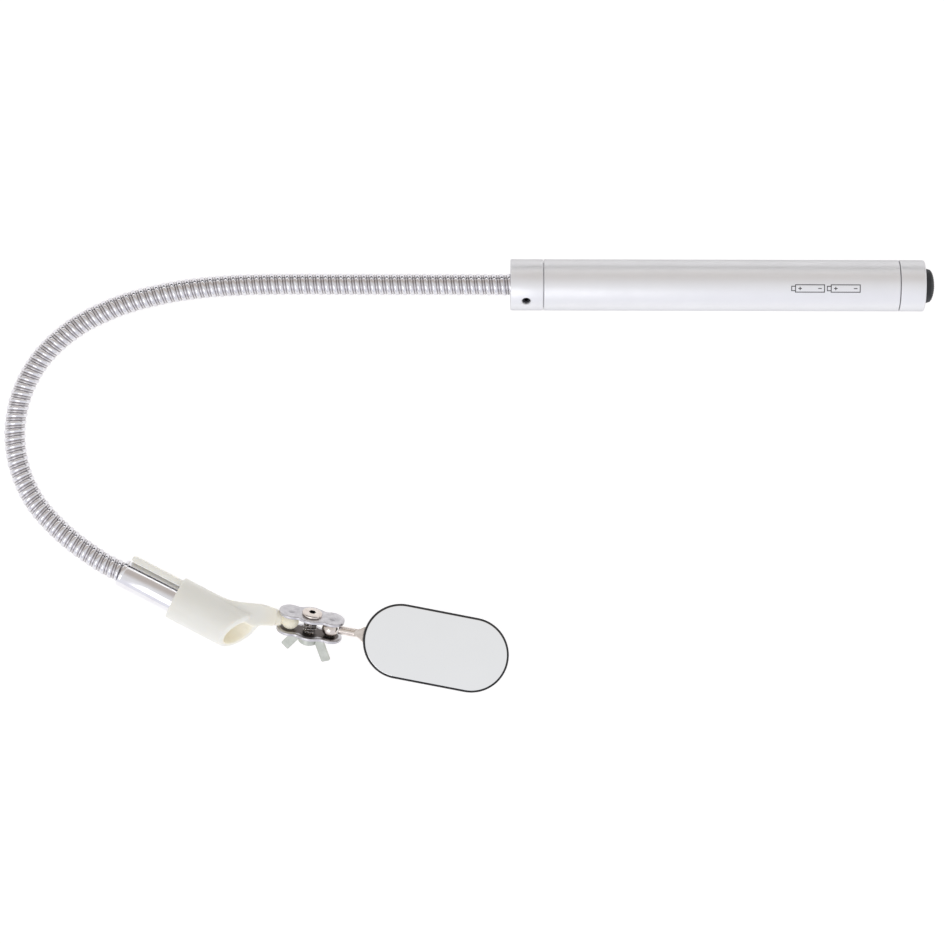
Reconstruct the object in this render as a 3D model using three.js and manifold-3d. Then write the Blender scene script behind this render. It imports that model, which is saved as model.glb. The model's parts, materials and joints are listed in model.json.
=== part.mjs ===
// Gooseneck inspection mirror with a lit head. Millimetres, +Z up.
// It lies on a table: the handle runs along +X, the flexible neck leaves it towards -X and curls
// round to the lit head, which carries the clip, the double ball clamp and the mirror.

import * as THREE from 'three';
import { mergeVertices } from 'three/addons/utils/BufferGeometryUtils.js';
import Module from 'manifold-3d';

const wasm = await Module();
wasm.setup();

// Fits
const fit = 0.15; // radial clearance between a turned piece and its bore
const seatGap = 0.3; // gap left between faces that rest on each other

// Battery cells, which set the size of the handle
const cellDiameter = 14.5;
const cellLength = 50.5;
const cellClearance = 0.3;
const nubDiameter = 5.4;
const nubHeight = 1.2;

// Handle, measured along its axis from the collar's front face
const tubeWall = 1.2;
const tubeBore = cellDiameter + 2 * cellClearance;
const handleDiameter = tubeBore + 2 * tubeWall;
const collarLength = 11;
const capLength = 8.5;
const spigotLength = 7;
const capSpigotLength = 7;
const spigotWall = 0.8;
const capBore = tubeBore - 2 * fit - 2 * spigotWall;
const capRearWall = 1.5;
const cableHoleDiameter = 4;
const edgeBreak = 0.3;

// Set screw in the collar
const setScrewDiameter = 2.8;
const setScrewFromFront = 5.3;
const setScrewTurn = 44; // degrees round from the top
const setScrewSocket = 1.5; // across the corners
const setScrewSocketDepth = 1.3;
const setScrewSink = 1.1; // how deep it sits below the collar's surface

// Contacts at both ends of the cells
const boardFront = collarLength + spigotLength + seatGap;
const boardThickness = 1.6;
const contactDiameter = 5;
const contactHeight = 0.8;
const tailSpringLength = 4.4;
const tailSpringRadius = 4.4;
const tailSpringTurns = 3.5;
const springWire = 0.8;

// Switch and button
const switchLength = 7.7;
const switchWall = 1.8;
const switchWire = 0.4;
const switchTurns = 2;
const retainerLength = 1.6;
const retainerBore = 2 * (tailSpringRadius + springWire / 2 + fit);
const plungerDiameter = 5;
const plungerFlange = 7.8;
const plungerFlangeHeight = 1.2;
const bootFlange = capBore - 2 * fit;
const bootLip = 0.5; // how far the boot's flange stands out behind the cap's rear wall
const buttonDiameter = bootFlange - 2 * bootLip;
const buttonProud = 3.6;
const buttonRim = 0.6;
const buttonWall = 1;
const buttonRoof = 1.6; // thickness of the dome in the middle
const buttonTravel = 1.2;
const travelRoom = 0.4; // left under the boot when it is pressed right in

// Neck: stretches of the centre line, each with the bend radius reached at its end (0 is straight)
const hoseDiameter = 7.6;
const hoseWall = 1.2;
const hoseBore = hoseDiameter - 2 * hoseWall;
const knuckleGap = 0.35;
const hingeCount = 16;
const firstHinge = 8.5; // along the neck from the collar's front face
const hoseShortOfTube = 2.3; // from the hose's end in the collar to the collar's rear face
const hoseInCollar = collarLength - hoseShortOfTube;
const hoseInHead = 5;
const cableDiameter = 2;
const neckStretches = [
  { length: 68, radius: 0 },
  { length: 53, radius: 117 },
  { length: 5, radius: 117 },
  { length: 42.5, radius: 41.7 },
  { length: 51.5, radius: 41.7 },
  { length: 28.5, radius: 0 },
];
const neckLength = neckStretches.reduce((sum, stretch) => sum + stretch.length, 0);
const hingeSpacing = (neckLength - firstHinge) / (hingeCount - 1);

// Lit head
const headAngle = -27.4; // degrees, direction of the head's axis
const headFromHinge = 8; // from the last hinge to the housing's rear face
const headWall = 0.85;
const headDiameter = hoseDiameter + 2 * fit + 2 * headWall;
const headLength = 34;
const lampDiameter = 5;
const lampLip = 0.4;
const lampFlangeHeight = 1;
const lampLength = 9.2;
const lampSetBack = 2.2; // from the tip of the lamp to the housing's front face
const lampFromRear = headLength - lampSetBack - lampLength;
const holderLength = 7;

// Clip, in the head's frame: x along the head, y towards the clip's tongue
const clipBore = headDiameter + 2 * fit;
const sleeveWall = 2.55;
const sleeveDiameter = clipBore + 2 * sleeveWall;
const sleeveStart = 20.2;
const sleeveOffset = 0.8; // the sleeve's outside is off the bore's centre by this much
const mouthBeyondHead = 10.8;
const mouthAt = headLength + mouthBeyondHead;
const mouthRise = 0.4; // how far the cut runs forward per millimetre of y
const mouthDepth = 0.49; // how far it runs forward per millimetre below the centre
const tongueStart = 1.3;
const tongueInner = headDiameter / 2 + seatGap;
const tongueThickness = 1.95;
const tongueWidth = 6;
const tongueRound = 1;
const tongueBevel = 0.5;

// The clip's arm, from the sleeve to the clip's ball
const armWidth = 6;
const armAngle = 16.5; // degrees, the arm's end above the head's axis
const armRootFrom = 10; // behind this, from the sleeve's start, there is no arm
const armBlend = 2.5; // length over which the arm's top leaves the sleeve
const armWaist = 7.5; // from the arm's end back to its waist
const armSwell = 0.6; // how much higher the arm is at its waist
const armHeel = 6.5; // from the arm's end back to its underside's root
const armHeelDrop = 1.6;
const ballBeyondMouth = 13.7;
const ballAboveSleeve = 3.65;

// Double ball clamp: x from ball to ball, z along the screw towards its head
const clampRoll = -63;
const ballDiameter = 6;
const ballFlatAt = 0.8 * (ballDiameter / 2);
const ballSpacing = 14;
const ballStandOut = 0.25; // of each ball beyond the plates' inner faces
const plateGap = ballDiameter - 2 * ballStandOut;
const plateThickness = 1.1;
const plateSeat = plateGap / 2 + plateThickness + seatGap;
const lobeRim = 1.3; // plate left round a ball
const lobeRadius = ballDiameter / 2 + lobeRim;
const waistFillet = 3;
const socketClearance = 0.2;
const socketWall = 1;
const screwDiameter = 3;
const screwHeadDiameter = 7.1;
const screwHeadHeight = 0.85;
const screwSocket = 2.4;
const screwSocketDepth = 0.7;
const headMargin = 1.75; // plate left round the screw's head
const bulgeRadius = screwHeadDiameter / 2 + headMargin;
const clampSpringWire = 0.6;
const clampSpringTurns = 4;

// Wing nut
const wingTurn = -18; // degrees about the screw
const hubDiameter = 6.4;
const hubHeight = 2.4;
const hubDome = 0.8;
const screwShort = 0.25; // of the screw's tip inside the hub
const screwTipAt = -(plateSeat + hubHeight - screwShort);
const wingSplay = 31; // degrees between a wing and the screw
const wingReach = 7.9; // from the screw to the middle of a wing's end
const wingDrop = 7.35; // from the hub's seat to the same point
const wingThickness = 1;
const wingWidth = 3.3;
const wingShoulder = 0.5; // the corner taken off where a wing leaves the hub
const wingRootIn = 0.8; // how far a wing's root runs into the hub
const wingRootHeight = 2.25;
const wingLow = 0.1; // of the wings' roots below the hub's seat

// Mirror, in the mirror ball's frame: x along the stem, z towards the glass
const mirrorDip = 3;
const mirrorRoll = -4;
const mirrorLength = 50;
const mirrorWidth = 25.5;
const frameRim = 0.6;
const frameFloor = 0.8;
const glassThickness = 1.8;
const glassSink = 0.1; // of the glass below the rim's edge
const frameHeight = frameFloor + seatGap + glassThickness + glassSink;
const stemDiameter = 2.9;
const stemReach = 11.3; // ball centre to the mirror's edge
const stemToMirror = stemReach + mirrorLength / 2;
const spadeWidth = 5.5;
const spadeThickness = 1;
const spadeOutside = 2.3; // how far the flattened end starts before the mirror's edge
const spadeInside = 12.7; // how far it reaches behind the mirror
const spadeTaper = 3;
const spadeCorner = 1;
const spadeStart = stemReach - spadeOutside;
const spadeEnd = stemReach + spadeInside;

const degrees = THREE.MathUtils.degToRad;
const handleRadius = handleDiameter / 2;
const hoseRadius = hoseDiameter / 2;
const ballRadius = ballDiameter / 2;
const sleeveTop = sleeveOffset + sleeveDiameter / 2;
const clipBallAt = new THREE.Vector3(mouthAt + ballBeyondMouth, sleeveTop + ballAboveSleeve, 0);
const armEndDistance = lobeRadius + 0.7; // from the clip ball's centre back to the arm's broad end
const armNeckDiameter = plateGap - 0.6; // passes between the plates with room to swing

// ---- solids ----

function toSolid(geometry) {
  const bare = geometry.clone();
  bare.deleteAttribute('normal');
  bare.deleteAttribute('uv');
  const merged = mergeVertices(bare, 1e-5);
  const corners = merged.index.array;
  const triangles = [];
  for (let i = 0; i < corners.length; i += 3) {
    const [a, b, c] = [corners[i], corners[i + 1], corners[i + 2]];
    if (a !== b && b !== c && c !== a) triangles.push(a, b, c);
  }
  const vertProperties = new Float32Array(merged.attributes.position.array);
  const triVerts = new Uint32Array(triangles);
  return new wasm.Manifold(new wasm.Mesh({ numProp: 3, vertProperties, triVerts }));
}

function toGeometry(solid) {
  const { vertProperties, triVerts } = solid.getMesh();
  const geometry = new THREE.BufferGeometry();
  geometry.setAttribute('position', new THREE.BufferAttribute(new Float32Array(vertProperties), 3));
  geometry.setIndex(new THREE.BufferAttribute(new Uint32Array(triVerts), 1));
  geometry.computeVertexNormals();
  return geometry;
}

function join(...geometries) {
  return toGeometry(geometries.map(toSolid).reduce((sum, solid) => sum.add(solid)));
}

function cut(geometry, ...tools) {
  return toGeometry(tools.map(toSolid).reduce((left, tool) => left.subtract(tool), toSolid(geometry)));
}

function overlapOf(first, second) {
  return toGeometry(toSolid(first).intersect(toSolid(second)));
}

// A turned piece about the X axis; the profile is a list of [radius, x]
function turned(profile, segments = 32) {
  const points = profile.map(([radius, x]) => new THREE.Vector2(radius, x));
  return new THREE.LatheGeometry(points, segments, Math.PI / segments).rotateZ(-Math.PI / 2);
}

// A straight tube about the X axis
function ring(innerRadius, outerRadius, start, end, segments = 32) {
  const profile = [
    [innerRadius, start],
    [outerRadius, start],
    [outerRadius, end],
    [innerRadius, end],
    [innerRadius, start],
  ];
  return turned(profile, segments);
}

// A solid rod about the X axis
function rod(radius, start, end, segments = 24) {
  return turned([[0, start], [radius, start], [radius, end], [0, end]], segments);
}

function alongZ(geometry) {
  return geometry.rotateY(-Math.PI / 2);
}

function ball(radius, segments = 16) {
  return new THREE.SphereGeometry(radius, segments, Math.round(segments * 0.6));
}

function block(low, high) {
  const size = high.clone().sub(low);
  const middle = low.clone().add(high).multiplyScalar(0.5);
  return new THREE.BoxGeometry(size.x, size.y, size.z).translate(middle.x, middle.y, middle.z);
}

// Points of an arc in a profile, as [radius, x] pairs about a centre on the axis
function profileArc(radius, centre, fromAngle, toAngle, steps) {
  const points = [];
  for (let i = 0; i <= steps; i += 1) {
    const angle = fromAngle + ((toAngle - fromAngle) * i) / steps;
    points.push([Math.max(radius * Math.sin(angle), 0), centre + radius * Math.cos(angle)]);
  }
  return points;
}

class HelixCurve extends THREE.Curve {
  constructor(startRadius, endRadius, start, end, turns) {
    super();
    Object.assign(this, { startRadius, endRadius, start, end, turns });
  }

  getPoint(t, target = new THREE.Vector3()) {
    const radius = this.startRadius + (this.endRadius - this.startRadius) * t;
    const angle = 2 * Math.PI * this.turns * t;
    const x = this.start + (this.end - this.start) * t;
    return target.set(x, radius * Math.cos(angle), radius * Math.sin(angle));
  }
}

function wire(curve, diameter, steps, sides = 5) {
  const section = new THREE.Shape();
  for (let i = 0; i < sides; i += 1) {
    const angle = (2 * Math.PI * i) / sides;
    const x = (diameter / 2) * Math.cos(angle);
    const y = (diameter / 2) * Math.sin(angle);
    if (i === 0) section.moveTo(x, y);
    else section.lineTo(x, y);
  }
  section.closePath();
  return new THREE.ExtrudeGeometry(section, { steps, bevelEnabled: false, extrudePath: curve });
}

// An outline in X and Y made into a slab from one height to another
function slab(outline, low, high, curveSegments = 10) {
  const settings = { depth: high - low, bevelEnabled: false, curveSegments };
  return new THREE.ExtrudeGeometry(outline, settings).translate(0, 0, low);
}

function obround(length, width, centreX) {
  const radius = width / 2;
  const reach = length / 2 - radius;
  const outline = new THREE.Shape();
  outline.absarc(centreX + reach, 0, radius, -Math.PI / 2, Math.PI / 2, false);
  outline.absarc(centreX - reach, 0, radius, Math.PI / 2, (3 * Math.PI) / 2, false);
  outline.closePath();
  return outline;
}

// ---- finishes ----

function finish(color, roughness, metalness) {
  return () => new THREE.MeshStandardMaterial({ color, roughness, metalness });
}

const anodised = finish('#d8dadb', 0.4, 0.9);
const darkSteel = finish('#4a4c50', 0.35, 0.9);
const boardGreen = finish('#2f6b45', 0.6, 0);
const brass = finish('#c9a557', 0.3, 1);
const cellJacket = finish('#3c4146', 0.4, 0.2);
const springSteel = finish('#b9bcc0', 0.3, 1);
const blackPlastic = finish('#26282a', 0.5, 0);
const blackRubber = finish('#2d3033', 0.8, 0);
const brightChrome = finish('#dcdee2', 0.1, 1);
const cableJacket = finish('#2b2b2e', 0.6, 0);
const whitePlastic = finish('#e9e9e6', 0.5, 0);
const clearEpoxy = finish('#eef3f7', 0.1, 0);
const milkyNylon = finish('#dedcd2', 0.45, 0);
const brushedNickel = finish('#a9a9ad', 0.4, 0.9);
const warmNickel = finish('#c9bfb8', 0.25, 1);
const blackRim = finish('#25282a', 0.4, 0.2);
const mirrorSilver = finish('#e4e6e8', 0.03, 1);

function piece(group, name, geometry, makeMaterial) {
  const mesh = new THREE.Mesh(geometry, makeMaterial());
  mesh.name = name;
  group.add(mesh);
  return mesh;
}

// ---- handle ----

function makeFrontCollar() {
  const hoseHole = hoseRadius + fit;
  const hoseStop = hoseInCollar + seatGap;
  const spigotEnd = collarLength + spigotLength;
  const spigotRadius = tubeBore / 2 - fit;
  const body = turned([
    [hoseHole, 0],
    [handleRadius - edgeBreak, 0],
    [handleRadius, edgeBreak],
    [handleRadius, collarLength],
    [spigotRadius, collarLength],
    [spigotRadius, spigotEnd],
    [cableHoleDiameter / 2, spigotEnd],
    [cableHoleDiameter / 2, hoseStop],
    [hoseHole, hoseStop],
    [hoseHole, 0],
  ]);
  const drill = alongZ(rod(setScrewDiameter / 2 + fit, hoseRadius * 0.5, handleRadius + 1));
  drill.rotateX(degrees(setScrewTurn)).translate(setScrewFromFront, 0, 0);
  return cut(body, drill);
}

function makeSetScrew() {
  const top = handleRadius - setScrewSink;
  const shank = alongZ(rod(setScrewDiameter / 2, hoseRadius + seatGap, top));
  const socket = alongZ(rod(setScrewSocket / 2, top - setScrewSocketDepth, top + 1, 6));
  return cut(shank, socket).rotateX(degrees(setScrewTurn)).translate(setScrewFromFront, 0, 0);
}

function makeCell(start) {
  const radius = cellDiameter / 2;
  const end = start + cellLength;
  return turned([
    [0, start],
    [nubDiameter / 2, start],
    [nubDiameter / 2, start + nubHeight],
    [radius - edgeBreak, start + nubHeight],
    [radius, start + nubHeight + edgeBreak],
    [radius, end - edgeBreak],
    [radius - edgeBreak, end],
    [0, end],
  ]);
}

function makeTailCap(tubeEnd) {
  const spigotStart = tubeEnd - capSpigotLength;
  const spigotRadius = tubeBore / 2 - fit;
  const rear = tubeEnd + capLength;
  const holeRadius = buttonDiameter / 2 + fit;
  const round = 2 * edgeBreak;
  return turned([
    [capBore / 2, spigotStart],
    [spigotRadius, spigotStart],
    [spigotRadius, tubeEnd],
    [handleRadius, tubeEnd],
    [handleRadius, rear - round],
    [handleRadius - round * 0.3, rear - round * 0.3],
    [handleRadius - round, rear],
    [holeRadius, rear],
    [holeRadius, rear - capRearWall],
    [capBore / 2, rear - capRearWall],
    [capBore / 2, spigotStart],
  ]);
}

function makeButtonBoot(rear, roof) {
  const flangeBack = rear - capRearWall - seatGap;
  const flangeFront = flangeBack - buttonWall;
  const rimRadius = buttonDiameter / 2;
  const innerRadius = rimRadius - buttonWall;
  const domeHeight = buttonProud - buttonRim;
  const domeRadius = (rimRadius ** 2 + domeHeight ** 2) / (2 * domeHeight);
  const domeCentre = rear + buttonProud - domeRadius;
  const domeEdge = Math.asin(rimRadius / domeRadius);
  return turned([
    [0, roof],
    [innerRadius * 0.6, roof],
    [innerRadius, rear],
    [innerRadius, flangeFront],
    [bootFlange / 2, flangeFront],
    [bootFlange / 2, flangeBack],
    [rimRadius, flangeBack],
    ...profileArc(domeRadius, domeCentre, domeEdge, 0, 4),
  ], 24);
}

function makeSwitchBody(start) {
  const end = start + switchLength;
  const outer = capBore / 2 - fit;
  const cavity = outer - switchWall;
  return turned([
    [0, start],
    [outer, start],
    [outer, end],
    [plungerDiameter / 2 + fit, end],
    [plungerDiameter / 2 + fit, end - switchWall],
    [cavity, end - switchWall],
    [cavity, start + switchWall],
    [0, start + switchWall],
  ]);
}

function makePlunger(flangeBack, tip) {
  return turned([
    [0, flangeBack],
    [plungerFlange / 2, flangeBack],
    [plungerFlange / 2, flangeBack + plungerFlangeHeight],
    [plungerDiameter / 2, flangeBack + plungerFlangeHeight],
    [plungerDiameter / 2, tip],
    [0, tip],
  ], 24);
}

function makeHandle() {
  const handle = new THREE.Group();
  const boardBack = boardFront + boardThickness;
  const contactBack = boardBack + seatGap + contactHeight;
  const frontCell = contactBack + seatGap;
  const rearCell = frontCell + cellLength + seatGap;
  const springStart = rearCell + cellLength + seatGap + springWire / 2;
  const springEnd = springStart + tailSpringLength;
  const switchStart = springEnd + springWire / 2 + seatGap;
  const switchEnd = switchStart + switchLength;
  const rear = switchEnd + travelRoom + buttonTravel + buttonWall + seatGap + capRearWall;
  const tubeEnd = rear - capLength;

  const tube = ring(tubeBore / 2, handleRadius, collarLength + seatGap, tubeEnd - seatGap);
  piece(handle, 'handle_tube', tube, anodised);
  piece(handle, 'front_collar', makeFrontCollar(), anodised);
  piece(handle, 'neck_set_screw', makeSetScrew(), darkSteel);

  piece(handle, 'driver_board', rod(tubeBore / 2 - fit, boardFront, boardBack, 32), boardGreen);
  piece(handle, 'front_contact', rod(contactDiameter / 2, boardBack + seatGap, contactBack), brass);
  piece(handle, 'battery_front', makeCell(frontCell), cellJacket);
  piece(handle, 'battery_rear', makeCell(rearCell), cellJacket);
  const tailSpring = new HelixCurve(
    tailSpringRadius * 0.7, tailSpringRadius, springStart, springEnd, tailSpringTurns,
  );
  piece(handle, 'battery_spring', wire(tailSpring, springWire, 42), springSteel);

  const retainerEnd = switchStart - seatGap;
  const retainerOuter = capBore / 2 - fit;
  const retainer = ring(retainerBore / 2, retainerOuter, retainerEnd - retainerLength, retainerEnd);
  piece(handle, 'switch_retainer', retainer, brass);
  piece(handle, 'switch_body', makeSwitchBody(switchStart), blackPlastic);
  const flangeBack = switchEnd - switchWall - seatGap - plungerFlangeHeight;
  const roof = rear + buttonProud - buttonRoof;
  piece(handle, 'switch_plunger', makePlunger(flangeBack, roof - seatGap), whitePlastic);
  const returnStart = switchStart + switchWall + switchWire;
  const returnEnd = flangeBack - switchWire;
  const returnRadius = plungerFlange / 2 - springWire;
  const returnSpring = new HelixCurve(returnRadius, returnRadius, returnStart, returnEnd, switchTurns);
  piece(handle, 'switch_spring', wire(returnSpring, switchWire, 24), springSteel);
  piece(handle, 'button_boot', makeButtonBoot(rear, roof), blackRubber);
  piece(handle, 'tail_cap', makeTailCap(tubeEnd), anodised);
  return handle;
}

// ---- neck ----

// Walks the centre line and returns its points; the bend changes evenly along each stretch
function walkNeck(stations) {
  const stepLength = 0.05;
  const bendOf = (radius) => (radius === 0 ? 0 : 1 / radius);
  const bendAt = (distance) => {
    let start = 0;
    let before = 0;
    for (const stretch of neckStretches) {
      const after = bendOf(stretch.radius);
      if (distance <= start + stretch.length) {
        return before + ((after - before) * (distance - start)) / stretch.length;
      }
      start += stretch.length;
      before = after;
    }
    return 0;
  };
  const found = [];
  const point = new THREE.Vector3();
  let heading = Math.PI;
  let walked = 0;
  while (found.length < stations.length) {
    while (found.length < stations.length && stations[found.length] <= walked + stepLength / 2) {
      found.push(point.clone());
    }
    heading += bendAt(walked + stepLength / 2) * stepLength;
    point.x += Math.cos(heading) * stepLength;
    point.y += Math.sin(heading) * stepLength;
    walked += stepLength;
  }
  return found;
}

// One length of hose from its own hinge at x = 0 to the next hinge, as a socket and a ball end
function makeHoseSection(length, hasSocket, hasBall) {
  const boreRadius = hoseBore / 2;
  const socketRadius = hoseRadius + knuckleGap;
  const socketRim = Math.asin(hoseRadius / socketRadius);
  const socketRoot = Math.asin(boreRadius / socketRadius);
  const ballTip = Math.asin(boreRadius / hoseRadius);
  const start = hasSocket
    ? profileArc(socketRadius, 0, socketRoot, socketRim, 2)
    : [[boreRadius, 0], [hoseRadius, 0]];
  const end = hasBall
    ? profileArc(hoseRadius, length, Math.PI / 2, ballTip, 3)
    : [[hoseRadius, length], [boreRadius, length]];
  return turned([...start, ...end, start[0]], 12);
}

function hingePoints() {
  const stations = [];
  for (let i = 0; i < hingeCount; i += 1) stations.push(firstHinge + hingeSpacing * i);
  return walkNeck(stations);
}

function headStart(hinges) {
  const last = hinges[hinges.length - 1];
  const reach = new THREE.Vector3(Math.cos(degrees(headAngle)), Math.sin(degrees(headAngle)), 0);
  return last.clone().addScaledVector(reach, headFromHinge);
}

function makeNeck(hinges) {
  const neck = new THREE.Group();
  const ends = [new THREE.Vector3(hoseInCollar, 0, 0), ...hinges];
  const tip = headStart(hinges);
  const reach = tip.clone().sub(hinges[hinges.length - 1]).normalize();
  ends.push(tip.clone().addScaledVector(reach, hoseInHead));
  for (let i = 0; i + 1 < ends.length; i += 1) {
    const chord = ends[i + 1].clone().sub(ends[i]);
    const isFirst = i === 0;
    const isLast = i + 2 === ends.length;
    const section = makeHoseSection(chord.length(), !isFirst, !isLast);
    const name = `hose_section_${String(i + 1).padStart(2, '0')}`;
    const mesh = piece(neck, name, section, brightChrome);
    mesh.position.copy(ends[i]);
    mesh.rotation.z = Math.atan2(chord.y, chord.x);
  }
  return neck;
}

function makeCable(hinges) {
  const head = headStart(hinges);
  const reach = head.clone().sub(hinges[hinges.length - 1]).normalize();
  const points = [new THREE.Vector3(boardFront - seatGap, 0, 0), new THREE.Vector3(collarLength / 2, 0, 0)];
  const halves = [];
  for (let i = 0; i < 2 * hingeCount - 1; i += 1) halves.push(firstHinge + (hingeSpacing * i) / 2);
  points.push(...walkNeck(halves));
  points.push(head.clone().addScaledVector(reach, hoseInHead));
  points.push(head.clone().addScaledVector(reach, lampFromRear - seatGap));
  return wire(new THREE.CatmullRomCurve3(points), cableDiameter, 48, 8);
}

// ---- lit head ----

function makeLamp() {
  const radius = lampDiameter / 2;
  const shoulder = lampFromRear + lampFlangeHeight;
  const domeStart = lampFromRear + lampLength - radius;
  return turned([
    [0, lampFromRear],
    [radius + lampLip, lampFromRear],
    [radius + lampLip, shoulder],
    [radius, shoulder],
    ...profileArc(radius, domeStart, Math.PI / 2, 0, 4),
  ], 20);
}

function makeHousing() {
  const radius = headDiameter / 2;
  const bore = hoseRadius + fit;
  return turned([
    [bore, 0],
    [radius - edgeBreak, 0],
    [radius, edgeBreak],
    [radius, headLength - edgeBreak],
    [radius - edgeBreak, headLength],
    [bore, headLength],
    [bore, 0],
  ]);
}

function armPoint(back, side) {
  const along = new THREE.Vector3(Math.cos(degrees(armAngle)), Math.sin(degrees(armAngle)), 0);
  const across = new THREE.Vector3(-along.y, along.x, 0);
  return clipBallAt.clone().addScaledVector(along, -back).addScaledVector(across, side);
}

function makeArm() {
  const root = sleeveStart + armRootFrom;
  const inside = clipBore / 2 + sleeveWall / 4;
  const topEnd = armPoint(armEndDistance, armWidth / 2);
  const bottomEnd = armPoint(armEndDistance, -armWidth / 2);
  const topWaist = armPoint(armEndDistance + armWaist, armWidth / 2 + armSwell);
  const bottomRoot = armPoint(armEndDistance + armHeel, -armWidth / 2 - armHeelDrop);
  const outline = new THREE.Shape();
  outline.moveTo(root, inside);
  outline.lineTo(root, sleeveTop - armSwell / 2);
  outline.lineTo(root + armBlend, sleeveTop);
  outline.bezierCurveTo(
    root + armWaist, sleeveTop, topWaist.x - armWaist, topWaist.y - 2 * armHeelDrop, topWaist.x, topWaist.y,
  );
  outline.lineTo(topEnd.x, topEnd.y);
  outline.lineTo(bottomEnd.x, bottomEnd.y);
  outline.lineTo(bottomRoot.x, bottomRoot.y);
  outline.lineTo(mouthAt - armHeel, inside);
  outline.closePath();
  return slab(outline, -armWidth / 2, armWidth / 2, 6);
}

function makeClip() {
  const outer = sleeveDiameter / 2;
  const far = clipBallAt.x;
  const sleeve = turned([
    [0, sleeveStart],
    [outer - edgeBreak, sleeveStart],
    [outer, sleeveStart + edgeBreak],
    [outer, far],
    [0, far],
  ], 32).translate(0, sleeveOffset, 0);
  const facing = new THREE.Vector3(1, -mouthRise, mouthDepth).normalize();
  const reach = 2 * sleeveDiameter;
  const cutter = new THREE.BoxGeometry(2 * reach, 2 * reach, 2 * reach);
  cutter.applyQuaternion(new THREE.Quaternion().setFromUnitVectors(new THREE.Vector3(1, 0, 0), facing));
  const middle = new THREE.Vector3(mouthAt, 0, 0).addScaledVector(facing, reach);
  cutter.translate(middle.x, middle.y, middle.z);

  const tongueTop = tongueInner + tongueThickness;
  const tongue = new THREE.Shape();
  tongue.moveTo(tongueStart + tongueBevel, tongueInner);
  tongue.lineTo(sleeveStart + tongueThickness, tongueInner);
  tongue.lineTo(sleeveStart + tongueThickness, tongueTop);
  tongue.lineTo(tongueStart + tongueRound, tongueTop);
  tongue.quadraticCurveTo(tongueStart, tongueTop, tongueStart, tongueTop - tongueRound);
  tongue.lineTo(tongueStart, tongueInner + tongueBevel);
  tongue.closePath();

  const armNeck = rod(armNeckDiameter / 2, -armEndDistance - 1, -ballFlatAt - seatGap);
  armNeck.rotateZ(degrees(armAngle)).translate(clipBallAt.x, clipBallAt.y, 0);
  const tongueBar = slab(tongue, -tongueWidth / 2, tongueWidth / 2, 4);
  const boreTool = rod(clipBore / 2, sleeveStart - 1, far + 1, 32);
  return cut(join(cut(sleeve, cutter), makeArm(), tongueBar, armNeck), boreTool);
}

// A ball with one flat; the flat faces along +X or -X
function makeBall(side) {
  const away = 2 * ballRadius;
  const low = Math.min(side * ballFlatAt, side * away);
  const high = Math.max(side * ballFlatAt, side * away);
  const corner = new THREE.Vector3(low, -away, -away);
  return cut(ball(ballRadius), block(corner, new THREE.Vector3(high, away, away)));
}

function makeHead(start) {
  const head = new THREE.Group();
  head.position.copy(start);
  head.rotation.z = degrees(headAngle);
  piece(head, 'led_housing', makeHousing(), brightChrome);
  const holderStart = lampFromRear + lampFlangeHeight + seatGap;
  const holder = ring(lampDiameter / 2 + fit, hoseRadius, holderStart, holderStart + holderLength, 24);
  piece(head, 'led_holder', holder, whitePlastic);
  piece(head, 'led_lamp', makeLamp(), clearEpoxy);
  piece(head, 'mirror_clip', makeClip(), milkyNylon);
  const joint = new THREE.Group();
  joint.position.copy(clipBallAt);
  joint.rotation.z = degrees(armAngle);
  head.add(joint);
  piece(joint, 'clip_ball', makeBall(-1), milkyNylon);
  joint.add(makeClamp(), makeMirror());
  return head;
}

// ---- double ball clamp ----

// Two lobes and a centre bulge, blended by fillets that touch both circles
function plateOutline() {
  const half = ballSpacing / 2;
  const toBulge = bulgeRadius + waistFillet;
  const toLobe = lobeRadius + waistFillet;
  const x = (toBulge ** 2 - toLobe ** 2 + half ** 2) / (2 * half);
  const y = Math.sqrt(toBulge ** 2 - x ** 2);
  const bulgeAngle = Math.atan2(y, x);
  const lobeAngle = Math.atan2(y, x - half);
  const outline = new THREE.Shape();
  outline.absarc(half, 0, lobeRadius, -lobeAngle, lobeAngle, false);
  outline.absarc(x, y, waistFillet, lobeAngle - Math.PI, bulgeAngle - Math.PI, true);
  outline.absarc(0, 0, bulgeRadius, bulgeAngle, Math.PI - bulgeAngle, false);
  outline.absarc(-x, y, waistFillet, -bulgeAngle, -lobeAngle, true);
  outline.absarc(-half, 0, lobeRadius, Math.PI - lobeAngle, Math.PI + lobeAngle, false);
  outline.absarc(-x, -y, waistFillet, lobeAngle, bulgeAngle, true);
  outline.absarc(0, 0, bulgeRadius, Math.PI + bulgeAngle, 2 * Math.PI - bulgeAngle, false);
  outline.absarc(x, -y, waistFillet, Math.PI - bulgeAngle, Math.PI - lobeAngle, true);
  return outline;
}

function makePlate(side) {
  const inner = plateGap / 2;
  const outer = inner + plateThickness;
  let plate = slab(plateOutline(), inner, outer, 5);
  const socketRadius = ballRadius + socketClearance;
  const far = 3 * ballSpacing;
  const above = block(new THREE.Vector3(-far, -far, outer - plateThickness / 2), new THREE.Vector3(far, far, far));
  for (const end of [-1, 1]) {
    const dome = overlapOf(ball(socketRadius + socketWall), above);
    plate = join(plate, dome.translate((end * ballSpacing) / 2, 0, 0));
  }
  const sockets = [-1, 1].map((end) => ball(socketRadius).translate((end * ballSpacing) / 2, 0, 0));
  const screwHole = alongZ(rod(screwDiameter / 2 + fit, inner - 1, outer + 1));
  plate = cut(plate, ...sockets, screwHole);
  return side > 0 ? plate : plate.rotateX(Math.PI);
}

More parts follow.
